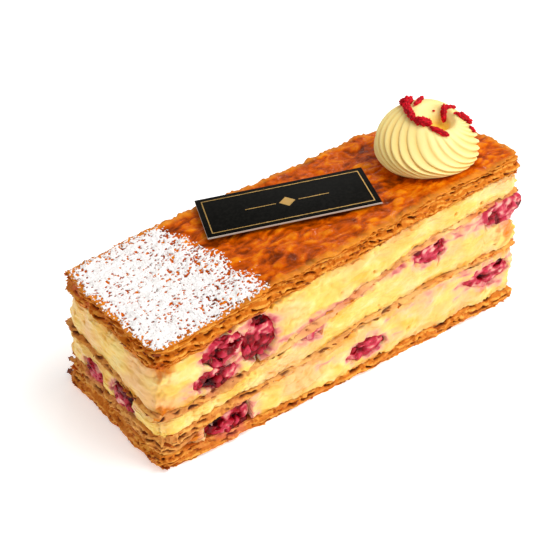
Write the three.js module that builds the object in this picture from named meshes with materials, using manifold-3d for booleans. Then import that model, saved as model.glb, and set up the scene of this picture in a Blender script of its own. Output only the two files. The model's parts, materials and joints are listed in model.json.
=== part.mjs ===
// A slice of layered puff pastry: four baked sheets, three cream fillings with red berries
// pressed into them, a piped cream rosette with dried berry bits, and a small blank card.
// Millimetres, Z up. X runs from the low near end to the tall far end, and the long cut
// side that shows its berries best looks along -Y.
import * as THREE from "three";
import { ImprovedNoise } from "three/addons/math/ImprovedNoise.js";
import { mergeVertices } from "three/addons/utils/BufferGeometryUtils.js";
import Module from "manifold-3d";

const wasm = await Module();
wasm.setup();

// The slice
const LENGTH = 130;
const WIDTH = 46.8;
const GAP = 0.3;
const ALONG_STEPS = 18;

// Heights of the layers' faces at stations along the slice, from the near end
const STATIONS = [0, 12, 32, 65, 97, 130];
const HEIGHTS = {
  bottomOver: [5, 4, 3.2, 3.4, 3.8, 5],
  thirdUnder: [5.2, 7.6, 11.5, 16, 18.8, 19.5],
  thirdOver: [10.4, 12.4, 13.5, 18, 20.8, 21.5],
  secondUnder: [17.4, 17.6, 20, 28, 35, 38.2],
  secondOver: [19.6, 19.6, 22, 30, 37, 40.2],
  topUnder: [31.5, 32.6, 36.2, 40.2, 43.6, 45.6],
  topOver: [37.3, 38.7, 41.6, 44.5, 48, 49.8],
};
const SAG = 0.35;
const SAG_SPAN = 26;

// Plan outline: spread at the foot, narrowing upwards, and at the back towards the bowed far end
const BASE_SPREAD = 2.1;
const SIDE_LEAN = 0.05;
const CORNER_CUT = 0.3;
const BACK_CUT = 2;
const FAR_BOW = 2;

// Slopes from front to back, largest at the named end
const CROSS_SLOPES = {
  second: { slope: 0.06, end: "near" },
  topOver: { slope: -0.075, end: "far" },
};

// Baked sheets
const LEAF_DEPTH = 0.7;
const RAGGED_DEPTH = 1.6;
const RAGGED_SPAN = 6;
const BLISTER_HEIGHT = 1.1;
const BLISTER_SPAN = 8;
const FLAKE = { length: 6, width: 4, taper: 0.4, thick: 0.7, curl: 1.6, x: -62.5, z: 8.4 };

// Cream fillings
const CREAM_INSET = 0.5;
const CREAM_LUMP = 1.2;
const CREAM_SPAN = 9;

// Berries: how far they stand out of the cut, how deep they sit and how lumpy they are
const BERRY_PROUD = 0.9;
const BERRY_DEPTH = 6;
const BERRY_SINK = 2.8;
const BERRY_LUMP = 0.22;
const BERRY_LUMP_SPAN = 0.55;
const BERRY_DETAIL = { front: 2, near: 2, back: 1, far: 1 };

// Each berry: its filling, the side it shows on, its middle along that side from the near
// end or the front, the height of its middle, its length and its height
const BERRIES = [
  { name: "berry_upper_1", filling: "upper", side: "front", at: 20.5, z: 29.5, long: 14, tall: 8.5 },
  { name: "berry_upper_2", filling: "upper", side: "front", at: 31, z: 28.5, long: 11, tall: 14 },
  { name: "berry_upper_3", filling: "upper", side: "front", at: 17, z: 22.5, long: 15, tall: 5.5 },
  { name: "berry_upper_4", filling: "upper", side: "back", at: 52, z: 33, long: 15, tall: 9 },
  { name: "berry_upper_5", filling: "upper", side: "far", at: 30, z: 43, long: 12, tall: 6 },
  { name: "berry_middle_1", filling: "middle", side: "front", at: 48.5, z: 23.5, long: 9, tall: 5 },
  { name: "berry_middle_2", filling: "middle", side: "front", at: 93, z: 31.5, long: 13, tall: 7 },
  { name: "berry_middle_3", filling: "middle", side: "front", at: 123, z: 34.5, long: 17, tall: 7 },
  { name: "berry_middle_4", filling: "middle", side: "near", at: 16.5, z: 13, long: 13, tall: 6 },
  { name: "berry_middle_5", filling: "middle", side: "near", at: 33, z: 12, long: 12, tall: 4 },
  { name: "berry_middle_6", filling: "middle", side: "back", at: 88, z: 28, long: 16, tall: 9 },
  { name: "berry_lower_1", filling: "lower", side: "front", at: 21.5, z: 6.5, long: 17, tall: 8.5 },
  { name: "berry_lower_2", filling: "lower", side: "front", at: 69, z: 8.5, long: 18, tall: 5.5 },
  { name: "berry_lower_3", filling: "lower", side: "front", at: 120, z: 13.5, long: 22, tall: 7.5 },
  { name: "berry_lower_4", filling: "lower", side: "back", at: 34, z: 7.5, long: 16, tall: 7.5 },
  { name: "berry_lower_5", filling: "lower", side: "back", at: 108, z: 12, long: 15, tall: 8 },
];

// Rosette, piped near the far end from a star nozzle; its outline runs from the foot over the
// crest into the pit, as shares of radius and height
const ROSETTE = { x: 43, y: -4.3, radius: 15.1, height: 12.6 };
const ROSETTE_OUTLINE = [
  [0.88, 0], [1, 0.28], [0.92, 0.66], [0.48, 1], [0.27, 0.9], [0.12, 0.68], [0, 0.58],
];
const ROSETTE_PAD = 3;
const RIDGES = 24;
const RIDGE_STEPS = 2;
const RIDGE_DEPTH = 0.95;
const RIDGE_START = 1.5;
const RIDGE_FULL = 12;
const RIDGE_TWIST = { wall: 0.55, top: 3 };
const LEAN = { right: -0.26, away: 0.44 };
const PIT_SHIFT = { right: 4.4, away: 2.4 };
const PROFILE_STEPS = 12;

// Right and away, as seen from the corner between the near end and the front
const RIGHT = new THREE.Vector2(0.795, -0.606);
const AWAY = new THREE.Vector2(0.606, 0.795);

// Dried berry bits: both ends, right and away from the rosette's axis, and how wide they are
const BITS = [
  { from: [-6.6, 8.2], to: [-4.6, 8.6], wide: 2.6 },
  { from: [-5.2, 7.4], to: [-4.8, -0.4], wide: 2.5 },
  { from: [-3.5, 5.6], to: [-1, 9.4], wide: 1.5 },
  { from: [-3.6, -1.9], to: [-1, -2.2], wide: 2.6 },
  { from: [-1.6, -0.6], to: [-0.2, 1.6], wide: 1.6 },
  { from: [0.3, -3.9], to: [4.7, -5.6], wide: 1.7 },
  { from: [5.3, 4.3], to: [5.1, 6.4], wide: 1.8 },
  { from: [5.2, 6.1], to: [8.4, 7.4], wide: 1.7 },
  { from: [9.4, 3.6], to: [12.6, 4.2], wide: 2 },
  { from: [12.4, 1.5], to: [14, 2], wide: 1.3 },
];
const BIT_SINK = 0.15;

// Blank card, lying askew on the blistered top
const CARD = { long: 50.4, wide: 19.8, thick: 0.6, x: -2.8, y: 4.1, turn: -0.403 };
const CARD_STEPS = 40;

const FINISHES = {
  pastry: { color: 0xc9812e, roughness: 0.75 },
  glaze: { color: 0xc56a17, roughness: 0.3 },
  cream: { color: 0xf9e08e, roughness: 0.45 },
  berry: { color: 0xa3123a, roughness: 0.3 },
  piped: { color: 0xfbf0b8, roughness: 0.5 },
  card: { color: 0x1a1a18, roughness: 0.5 },
};

const { clamp, lerp, smoothstep } = THREE.MathUtils;
const perlin = new ImprovedNoise();

// A smooth line through one height at each station
function stationLine(heights) {
  const places = STATIONS.map((along) => along - LENGTH / 2);
  const line = new THREE.CubicInterpolant(places, heights, 1, [0]);
  return (x) => line.evaluate(clamp(x, places[0], places.at(-1)))[0];
}

// Each face of a sheet: its height over any point of the plan, with a gentle sag of its own
const faces = {};
Object.entries(HEIGHTS).forEach(([name, heights], order) => {
  const line = stationLine(heights);
  const tilts = Object.entries(CROSS_SLOPES).filter(([start]) => name.startsWith(start));
  faces[name] = (x, y) => {
    const sag = SAG * perlin.noise(x / SAG_SPAN, y / SAG_SPAN, 7.3 * order);
    const towardsFar = x / LENGTH + 0.5;
    const share = { near: 1 - towardsFar, far: towardsFar };
    const tilt = tilts.reduce((sum, [, { slope, end }]) => sum + slope * y * share[end], 0);
    return line(x) + sag + tilt;
  };
});
faces.ground = () => 0;

// The blistered top: flat under the rosette, domed between sharp creases elsewhere
function glazedTop(x, y) {
  const reach = Math.hypot(x - ROSETTE.x, y - ROSETTE.y) - ROSETTE.radius;
  const free = smoothstep(reach, 0, ROSETTE_PAD);
  const dome = Math.abs(perlin.noise(x / BLISTER_SPAN, y / BLISTER_SPAN, 3.7));
  return faces.topOver(x, y) + free * BLISTER_HEIGHT * dome;
}

// Only positions and true triangles, with shared corners merged
function closedMesh(geometry) {
  geometry.deleteAttribute("normal");
  geometry.deleteAttribute("uv");
  const merged = mergeVertices(geometry, 1e-4);
  const corners = [];
  for (let i = 0; i < merged.index.count; i += 3) {
    const [a, b, c] = [0, 1, 2].map((step) => merged.index.getX(i + step));
    if (a !== b && b !== c && c !== a) {
      corners.push(a, b, c);
    }
  }
  merged.setIndex(corners);
  return merged;
}

// Moves every corner of a shape; move gets the corner and changes it
function reshaped(geometry, move) {
  const places = geometry.attributes.position;
  const corner = new THREE.Vector3();
  for (let i = 0; i < places.count; i += 1) {
    corner.fromBufferAttribute(places, i);
    move(corner);
    places.setXYZ(i, corner.x, corner.y, corner.z);
  }
  return geometry;
}

function toSolid(closed) {
  return new wasm.Manifold(
    new wasm.Mesh({
      numProp: 3,
      vertProperties: new Float32Array(closed.attributes.position.array),
      triVerts: new Uint32Array(closed.index.array),
    }),
  );
}

// The largest body of a solid, as a geometry; scraps that a cut leaves loose are dropped
function toGeometry(solid) {
  const [largest] = solid.decompose().sort((a, b) => b.volume() - a.volume());
  const mesh = largest.getMesh();
  const geometry = new THREE.BufferGeometry();
  geometry.setAttribute("position", new THREE.BufferAttribute(mesh.vertProperties, 3));
  geometry.setIndex(new THREE.BufferAttribute(mesh.triVerts, 1));
  return geometry;
}

// A layer between two faces, with its side walls pushed out or in by relief(x, y, level);
// one that pinches out at the near end leaves out its first steps
function slab(under, over, [along, across, up], relief, skipped = 0) {
  const box = closedMesh(new THREE.BoxGeometry(1, 1, 1, along - skipped, across, up));
  const start = LENGTH * (skipped / along - 0.5);
  return reshaped(box, (corner) => {
    const level = corner.z + 0.5;
    const endSide = Math.abs(corner.x) > 0.499 ? Math.sign(corner.x) : 0;
    const longSide = Math.abs(corner.y) > 0.499 ? Math.sign(corner.y) : 0;
    const x = lerp(start, LENGTH / 2, corner.x + 0.5);
    const y = WIDTH * corner.y;
    const lean = BASE_SPREAD - SIDE_LEAN * lerp(under(x, y), over(x, y), level);
    const push = relief(x, y, level) + lean - (endSide && longSide ? CORNER_CUT : 0);
    const narrow = longSide > 0 ? BACK_CUT * smoothstep(x, -LENGTH / 4, LENGTH / 4) : 0;
    const bow = endSide > 0 ? FAR_BOW * (1 - (2 * corner.y) ** 2) : 0;
    corner.x = x + endSide * push + bow;
    corner.y = y + longSide * (push - narrow);
    corner.z = lerp(under(corner.x, corner.y), over(corner.x, corner.y), level);
  });
}

const raised = (face, lift) => (x, y) => face(x, y) + lift;

// The side of a baked sheet: stacked leaves with a ragged edge
function leafRelief(leaves, seed) {
  return (x, y, level) => {
    const ragged = perlin.noise(x / RAGGED_SPAN, y / RAGGED_SPAN, seed + 2.3 * level);
    const leaf = -Math.cos(2 * Math.PI * leaves * level);
    return LEAF_DEPTH * leaf + RAGGED_DEPTH * ragged;
  };
}

// The side of a cream filling: set back a little, with soft lumps
function creamRelief(seed) {
  return (x, y, level) => {
    const lump = perlin.noise(x / CREAM_SPAN, y / CREAM_SPAN, seed + 1.4 * level);
    return CREAM_LUMP * lump - CREAM_INSET * (1 + Math.abs(2 * level - 1));
  };
}

const SHEETS = {
  pastry_bottom: { under: "ground", over: "bottomOver", rows: 3, seed: 1.7 },
  pastry_third: { under: "thirdUnder", over: "thirdOver", rows: 2, seed: 4.1 },
  pastry_second: { under: "secondUnder", over: "secondOver", rows: 2, seed: 8.6 },
};
const FILLINGS = {
  lower: { under: "bottomOver", over: "thirdUnder", seed: 2.9, skipped: 1, slack: 0.35 },
  middle: { under: "thirdOver", over: "secondUnder", seed: 5.2, skipped: 0, slack: 0 },
  upper: { under: "secondOver", over: "topUnder", seed: 9.4, skipped: 0, slack: 0 },
};

// Steps along, across and up in each kind of layer
const CREAM_GRAIN = [ALONG_STEPS, 4, 3];
const TOP_GRAIN = [28, 10, 3];
const sheetGrain = (rows) => [ALONG_STEPS, 8, rows];

function pastrySheet({ under, over, rows, seed }) {
  const floor = under === "ground" ? faces.ground : raised(faces[under], GAP / 2);
  return slab(floor, raised(faces[over], -GAP / 2), sheetGrain(rows), leafRelief(1, seed));
}

function topSheet() {
  return slab(raised(faces.topUnder, GAP / 2), glazedTop, TOP_GRAIN, leafRelief(1.5, 6.5));
}

// One curled flake that stands out of the third sheet at the back
function curledFlake() {
  const { length, width, taper, thick, curl, x, z } = FLAKE;
  const strip = closedMesh(new THREE.BoxGeometry(width, length, thick, 2, 5, 1));
  return reshaped(strip, (corner) => {
    const reach = corner.y / length + 0.5;
    corner.z += z + curl * reach * reach;
    corner.y += WIDTH / 2;
    corner.x = corner.x * (1 - taper * reach) + x;
  });
}

// A filling's slab; slack keeps it clear of a sheet that bends sharply over it
function fillingSlab({ under, over, skipped, slack }, relief) {
  const floor = raised(faces[under], GAP / 2);
  const ceiling = raised(faces[over], -GAP / 2 - slack);
  return slab(floor, ceiling, CREAM_GRAIN, relief, skipped);
}

// Middle of a berry on its side of the slice, and half its size along X, Y and Z
function berryPlace({ side, at, z, long, tall }) {
  const onLongSide = side === "front" || side === "back";
  const outward = side === "front" || side === "near" ? -1 : 1;
  const middle = onLongSide
    ? new THREE.Vector3(at - LENGTH / 2, outward * (WIDTH / 2 - BERRY_SINK), z)
    : new THREE.Vector3(outward * (LENGTH / 2 - BERRY_SINK), at - WIDTH / 2, z);
  const half = onLongSide
    ? new THREE.Vector3(long / 2, BERRY_DEPTH, tall / 2)
    : new THREE.Vector3(BERRY_DEPTH, long / 2, tall / 2);
  return { middle, half };
}

// A lumpy berry, grown by a margin all round
function berryBlob(berry, seed, margin) {
  const { middle, half } = berryPlace(berry);
  const ball = closedMesh(new THREE.IcosahedronGeometry(1, BERRY_DETAIL[berry.side]));
  const grown = half.clone().addScalar(margin);
  return reshaped(ball, (corner) => {
    const at = corner.clone().divideScalar(BERRY_LUMP_SPAN);
    const lump = 1 + BERRY_LUMP * perlin.noise(at.x, at.y, at.z + seed);
    corner.multiplyScalar(lump).multiply(grown).add(middle);
  });
}

// A filling cut round its berries, and the berries cut to the filling's height
function filledLayer(fillingName, meshes) {
  const filling = FILLINGS[fillingName];
  const band = toSolid(fillingSlab(filling, () => BERRY_PROUD));
  const uncut = toSolid(fillingSlab(filling, creamRelief(filling.seed)));
  let taken = null;
  BERRIES.filter((berry) => berry.filling === fillingName).forEach((berry, order) => {
    const seed = filling.seed + 3.1 * order;
    const grown = toSolid(berryBlob(berry, seed, GAP));
    let body = toSolid(berryBlob(berry, seed, 0)).intersect(band);
    if (taken) {
      body = body.subtract(taken);
    }
    taken = taken ? taken.add(grown) : grown;
    meshes.push(named(berry.name, toGeometry(body), FINISHES.berry));
  });
  const cream = toGeometry(uncut.subtract(taken));
  meshes.push(named(`cream_${fillingName}`, cream, FINISHES.cream));
}

// A step in plan, right and away as seen
function seenStep({ right, away }) {
  return RIGHT.clone().multiplyScalar(right).addScaledVector(AWAY, away);
}

function rosetteProfile() {
  const { radius, height } = ROSETTE;
  const marks = ROSETTE_OUTLINE.map(([reach, rise]) => new THREE.Vector2(reach * radius, rise * height));
  return [new THREE.Vector2(0, 0), ...new THREE.SplineCurve(marks).getPoints(PROFILE_STEPS)];
}

// Piped cream on the pastry: twisted ridges, leaning up at the back left, its pit off the axis
function pipedCream() {
  const { radius, height } = ROSETTE;
  const lathe = closedMesh(new THREE.LatheGeometry(rosetteProfile(), RIDGES * RIDGE_STEPS));
  const leaning = seenStep(LEAN).divideScalar(radius);
  const offAxis = seenStep(PIT_SHIFT);
  const plan = new THREE.Vector2();
  return reshaped(lathe, (corner) => {
    const rise = corner.y;
    const reach = Math.hypot(corner.x, corner.z);
    const inward = 1 - reach / radius;
    const around = Math.atan2(-corner.z, corner.x);
    const onWall = rise > 0 ? smoothstep(reach, RIDGE_START, RIDGE_FULL) : 0;
    const ridge = RIDGE_DEPTH * onWall * Math.cos(RIDGES * around);
    const twist = RIDGE_TWIST.wall * (rise / height) + RIDGE_TWIST.top * inward ** 2;
    const turned = around - twist;
    plan.set(Math.cos(turned), Math.sin(turned)).multiplyScalar(reach + ridge);
    const lean = 1 + plan.dot(leaning);
    plan.addScaledVector(offAxis, inward);
    corner.x = ROSETTE.x + plan.x;
    corner.y = ROSETTE.y + plan.y;
    corner.z = faces.topOver(corner.x, corner.y) + GAP + rise * lean;
  });
}

// A dried bit that lies on the cream between its two ends
function driedBit({ from, to, wide }, cream) {
  const down = new THREE.Vector3(0, 0, -1);
  const [start, end] = [from, to].map(([right, away]) => {
    const { x, y } = seenStep({ right, away });
    const above = new THREE.Vector3(ROSETTE.x + x, ROSETTE.y + y, LENGTH);
    return new THREE.Raycaster(above, down).intersectObject(cream)[0].point;
  });
  const along = end.clone().sub(start);
  const across = new THREE.Vector3(0, 0, 1).cross(along).setLength(wide / 2);
  const up = along.clone().cross(across).setLength(wide / 2);
  const middle = start.add(end).divideScalar(2).addScaledVector(up, 1 - 2 * BIT_SINK);
  along.setLength((along.length() + wide) / 2);
  const pose = new THREE.Matrix4().makeBasis(along, across, up).setPosition(middle);
  return closedMesh(new THREE.OctahedronGeometry(1, 0)).applyMatrix4(pose);
}

// The rosette with its dried berry bits pressed on
function toppedRosette() {
  const cream = pipedCream();
  const target = new THREE.Mesh(cream, new THREE.MeshStandardMaterial({ side: THREE.DoubleSide }));
  const bits = BITS.map((bit) => toSolid(driedBit(bit, target)));
  return toGeometry(bits.reduce((whole, bit) => whole.add(bit), toSolid(cream)));
}

// The card on the slope of the top, lifted until it rests on the highest blisters
function blankCard() {
  const { long, wide, thick, x, y, turn } = CARD;
  const slope = (faces.topOver(x + long / 2, y) - faces.topOver(x - long / 2, y)) / long;
  const base = faces.topOver(x, y);
  let lift = 0;
  for (let i = 0; i <= CARD_STEPS; i += 1) {
    for (let j = 0; j <= CARD_STEPS; j += 1) {
      const at = new THREE.Vector2(long * (i / CARD_STEPS - 0.5), wide * (j / CARD_STEPS - 0.5));
      at.rotateAround(new THREE.Vector2(), turn);
      lift = Math.max(lift, glazedTop(x + at.x, y + at.y) - base - slope * at.x);
    }
  }
  const card = named("label_card", new THREE.BoxGeometry(long, wide, thick), FINISHES.card);
  card.rotation.z = turn;
  const onSlope = new THREE.Group();
  onSlope.rotation.y = -Math.atan(slope);
  onSlope.position.set(x, y, base + lift + GAP + thick / 2);
  onSlope.add(card);
  return onSlope;
}

function named(name, geometry, finish) {
  const mesh = new THREE.Mesh(geometry, new THREE.MeshStandardMaterial({ metalness: 0, ...finish }));
  mesh.name = name;
  return mesh;
}

const pieces = [];
Object.entries(SHEETS).forEach(([name, sheet]) => {
  let geometry = pastrySheet(sheet);
  if (name === "pastry_third") {
    geometry = toGeometry(toSolid(geometry).add(toSolid(curledFlake())));
  }
  pieces.push(named(name, geometry, FINISHES.pastry));
});
pieces.push(named("pastry_top", topSheet(), FINISHES.glaze));
Object.keys(FILLINGS).forEach((fillingName) => filledLayer(fillingName, pieces));
pieces.push(named("rosette", toppedRosette(), FINISHES.piped));
pieces.push(blankCard());

const slice = new THREE.Group();
slice.add(...pieces);

// The origin is the middle of the slice's box, on the surface it stands on
const box = new THREE.Box3().setFromObject(slice, true);
const middle = box.getCenter(new THREE.Vector3());
slice.position.set(-middle.x, -middle.y, -box.min.z);

export default slice;
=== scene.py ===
"""Mille feuille slice: baked leaves, custard, crushed berries, a piped rosette, a card and icing sugar."""

import json
import math
import random

import bmesh
import bpy
import numpy as np
from mathutils import Matrix, Vector, kdtree, noise
from mathutils.bvhtree import BVHTree

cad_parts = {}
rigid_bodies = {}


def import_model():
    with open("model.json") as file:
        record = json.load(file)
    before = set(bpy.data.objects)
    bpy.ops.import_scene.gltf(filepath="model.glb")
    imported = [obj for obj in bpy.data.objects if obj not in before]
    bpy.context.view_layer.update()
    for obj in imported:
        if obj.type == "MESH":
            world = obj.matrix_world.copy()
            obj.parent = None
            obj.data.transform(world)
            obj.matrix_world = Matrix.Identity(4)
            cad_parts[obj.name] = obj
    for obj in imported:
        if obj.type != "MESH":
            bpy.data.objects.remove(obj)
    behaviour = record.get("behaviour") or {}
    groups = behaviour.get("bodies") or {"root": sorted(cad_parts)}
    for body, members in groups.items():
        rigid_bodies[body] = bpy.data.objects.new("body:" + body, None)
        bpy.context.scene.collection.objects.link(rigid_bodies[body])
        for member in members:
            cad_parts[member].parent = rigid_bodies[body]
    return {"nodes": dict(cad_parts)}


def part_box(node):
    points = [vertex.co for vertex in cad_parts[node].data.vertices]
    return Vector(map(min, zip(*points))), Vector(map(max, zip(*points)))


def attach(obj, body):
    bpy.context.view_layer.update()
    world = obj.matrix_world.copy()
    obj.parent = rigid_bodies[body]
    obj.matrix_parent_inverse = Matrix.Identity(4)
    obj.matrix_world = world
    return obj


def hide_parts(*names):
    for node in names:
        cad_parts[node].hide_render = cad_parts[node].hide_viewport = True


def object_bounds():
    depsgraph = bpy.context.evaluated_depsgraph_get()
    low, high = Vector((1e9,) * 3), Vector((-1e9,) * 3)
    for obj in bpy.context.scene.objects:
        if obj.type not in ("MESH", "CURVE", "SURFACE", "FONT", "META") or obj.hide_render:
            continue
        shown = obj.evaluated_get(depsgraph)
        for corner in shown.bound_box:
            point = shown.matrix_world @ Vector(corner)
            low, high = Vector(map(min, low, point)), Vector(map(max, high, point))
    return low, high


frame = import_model()
CAD_BOX = [list(corner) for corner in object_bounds()]

bl_info = {
    "name": "Mille feuille slice",
    "version": (1, 0, 0),
    "blender": (4, 5, 0),
    "location": "View3D > Sidebar > Slice",
    "description": "Dresses the packed slice as baked pastry, custard, berries, piped cream and sugar",
    "category": "Object",
}

MM = 0.001
UP = Vector((0, 0, 1))
# Seed of the noise that bends the cells; 0 would follow the clock
NOISE_SEED = 3

# How a layer's CAD wall is read: a guide line inside the outline, rays shot at it from outside
GUIDE_INSET = 4.5 * MM
GUIDE_CORNER = 2.2 * MM
SLOPE_SPAN = 6 * MM
RAY_START = 18 * MM
RAY_MARGIN = 0.2 * MM
# How far a layer's faces dip towards its middle line, as a share of its thickness
CAP_DIP = 0.3
# Where a layer is thinner than this it loses its relief
THIN = 2.5 * MM

# Vertex attributes that the materials read
# HOLLOW: depth in a gap, pit, crease or valley, painted as shade; on the glaze, blister height, painted as
# light
HOLLOW = "hollow"
STAIN = "stain"
# SOAK: cream soaked into sheets; rosette pit painted golden as shade; berry tone, partly painted shade
SOAK = "soak"
TOAST = "toast"
PICK = "pick"

# Baked sheets, in mm: spacing of the leaves, length of the gaps between them and their depth, how unevenly
# the leaves break off, how much is chipped off the corners, how far the edge is set back, room for the skin
# and how far the near end hangs down; then shares of cream soaked in all along and in the middle, and flakes
SHEETS = {
    "pastry_bottom": {"tall": 1.6, "span": 3.4, "deep": 1.2, "ragged": 0.7, "chip": 2.0, "pull": 0.0,
                      "trim": 0.0, "droop": 0.0, "soak": 0.05, "damp": 0.0, "flakes": 330},
    "pastry_third": {"tall": 1.5, "span": 3.2, "deep": 1.1, "ragged": 0.7, "chip": 2.4, "pull": 0.1,
                     "trim": 0.0, "droop": 1.6, "soak": 0.25, "damp": 0.15, "flakes": 240},
    "pastry_second": {"tall": 1.2, "span": 2.6, "deep": 1.0, "ragged": 0.6, "chip": 2.0, "pull": 0.2,
                      "trim": 0.0, "droop": 0.0, "soak": 0.25, "damp": 0.45, "flakes": 150},
    "pastry_top": {"tall": 1.3, "span": 1.9, "deep": 1.3, "ragged": 0.5, "chip": 1.5, "pull": 0.0,
                   "trim": 0.5, "droop": 0.0, "soak": 0.0, "damp": 0.0, "flakes": 420},
}
FILLINGS = ("cream_lower", "cream_middle", "cream_upper")
BERRIES = sorted(name for name in frame["nodes"] if name.startswith("berry_"))

# Berries that are mostly mashed into the cream, and by how much
MASHED = {"berry_upper_1": 0.1, "berry_upper_2": 0.08, "berry_upper_3": 0.2, "berry_lower_2": 0.4,
          "berry_lower_3": 0.55, "berry_middle_1": 0.3, "berry_middle_2": 0.22, "berry_middle_3": 0.45,
          "berry_middle_5": 0.6}

# Juice that has run into the cream: both ends along and up the front, width in mm, and strength
JUICE_RUNS = (
    (-50, 31.0, -36, 29.0, 5.5, 0.95),
    (-48, 26.0, -38, 25.0, 4.0, 0.8),
    (-58, 22.0, -38, 24.0, 3.0, 0.6),
    (-52, 5.0, -38, 9.0, 4.0, 0.85),
    (-33, 24.5, 17, 30.6, 2.4, 0.85),
    (24, 32.5, 63, 35.0, 4.5, 0.85),
    (12, 14.0, 52, 18.0, 3.0, 0.65),
    (40, 12.5, 62, 15.5, 4.0, 0.7),
    (-15, 10.4, 16, 8.2, 2.2, 0.55),
)

# Browned spots in mm: place and radius
TOASTED = (
    (-65, -25, 31.5, 5.5),
    (-57, -25.5, 6.5, 4.0),
    (-64.5, -25.5, 18.6, 4.2),
    (60, -25, 28.5, 6.5),
    (57, -25, 37.5, 3.4),
    (51, -25, 37.2, 1.6),
    (51, -26, 10, 3.5),
    (17, -25, 30.5, 2.2),
    (-31.5, -25, 31.5, 2.4),
    (-29, -25, 27.5, 1.8),
    (29, 24, 38, 4.5),
    (-39, 24, 19, 4.0),
    (66, 8, 22, 4.5),
)

# The rosette's outline from its foot over the crest into the pit, as shares of radius and height
OUTLINE = ((0.88, 0), (1, 0.28), (0.92, 0.66), (0.46, 1), (0.26, 0.9), (0.14, 0.72), (0, 0.66))

# Dried berry bits on the rosette: both ends, right and away from its axis as seen, and width, in mm
BITS = (
    (-6.8, 8.4, -4.6, 8.6, 2.6),
    (-5.2, 8.0, -5.6, 4.0, 2.6),
    (-5.6, 4.0, -4.6, -0.6, 2.5),
    (-3.6, 5.4, -1.0, 9.4, 1.5),
    (-3.6, -1.9, -1.0, -2.3, 2.6),
    (-1.6, -0.6, -0.2, 1.6, 1.6),
    (0.3, -3.9, 4.7, -5.6, 1.7),
    (5.3, 4.3, 5.1, 6.4, 1.9),
    (5.2, 6.1, 8.4, 7.4, 1.7),
    (8.0, 3.9, 8.9, 4.2, 1.0),
    (9.4, 3.6, 12.6, 4.2, 2.0),
    (12.4, 1.5, 14.0, 2.0, 1.2),
    (1.8, 5.6, 2.1, 5.7, 0.6),
)
# Level directions as the camera sees them
SEEN_RIGHT = Vector((0.795, -0.606, 0))
SEEN_AWAY = Vector((0.606, 0.795, 0))

# Pockets in the cream: rounds of smoothing, and from what length an edge stays sharp
POCKET_ROUNDS = 10
LONG_EDGE = 10 * MM

# How far sugar is strewn past the end of the dusting
STRAY = 8 * MM

# Square soft lights: place and side in metres; the front one's power is a share of the main one's
MAIN_LIGHT = ((0.48, -0.4, 0.92), 0.8)
FRONT_LIGHT = ((0.1, -1.0, 0.4), 0.6)
SPARK_LIGHT = ((0.5, 0.65, 0.6), 0.08)
FRONT_SHARE = 0.16


def linear(code):
    """An sRGB hex colour as linear RGBA."""
    parts = [int(code[at:at + 2], 16) / 255 for at in (1, 3, 5)]
    return (*[c / 12.92 if c < 0.0405 else ((c + 0.055) / 1.055) ** 2.4 for c in parts], 1.0)


def length(name, size_mm, words):
    """A length property, given in millimetres and kept in metres."""
    return bpy.props.FloatProperty(
        name=name, description=words, default=size_mm * MM, unit="LENGTH", precision=5)


def share(name, value, words):
    """A plain number property."""
    return bpy.props.FloatProperty(name=name, description=words, default=value)


def shade(name, code, words):
    """A colour property, given as an sRGB hex value."""
    return bpy.props.FloatVectorProperty(
        name=name, description=words, default=linear(code), size=4, min=0, max=1, subtype="COLOR")


def count(name, number, words):
    """A whole number property."""
    return bpy.props.IntProperty(name=name, description=words, default=number, min=1)


class PastryLook(bpy.types.PropertyGroup):
    """Leaves and colours of the baked sheets."""
    step: length("Detail", 0.22, "Mesh step along the cut edge of a sheet")
    leaf_step: length("Leaf detail", 0.17, "Mesh step up the cut edge of a sheet")
    damp_start: length("Damp from", -30, "Where the sheets get damp with cream, along the slice")
    damp_end: length("Damp to", 42, "Where the sheets are dry again, along the slice")
    flake: length("Flake", 1.7, "Length of a loose flake")
    # Leaf edge is a painted highlight on the leaves' tops; Toasted and Gap are painted shade in the gaps
    lit: shade("Leaf edge", "#ECA642", "Thin lit leaf edges")
    gold: shade("Baked", "#D07412", "Baked leaves")
    brown: shade("Toasted", "#8C3C04", "Toasted leaves inside the gaps")
    dark: shade("Gap", "#4A1C03", "Bottom of the gaps")
    ember: shade("Browned", "#C65C0A", "Browned patches")
    soaked: shade("Soaked", "#F2D188", "Pastry soaked by cream")
    juice: shade("Juice", "#D4506A", "Pastry stained by berries")


class GlazeLook(bpy.types.PropertyGroup):
    """The caramelised top."""
    step: length("Detail", 0.42, "Mesh step of the top skin")
    thick: length("Skin", 0.35, "Thickness of the caramelised skin")
    blister: length("Blister height", 0.45, "How far blisters rise")
    blister_span: length("Blister width", 4.6, "How wide blisters are")
    wrinkle: length("Wrinkle", 0.11, "Height of the fine wrinkles")
    # Amber and Burnt vary in patches and also paint light on blister tops and shade in the creases
    amber: shade("Amber", "#EC860C", "Light caramel on the blisters")
    caramel: shade("Caramel", "#CC5400", "Main caramel")
    burnt: shade("Burnt", "#702800", "Dark caramel in the creases")
    rim: shade("Rim", "#E29030", "Dry baked rim")


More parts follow.
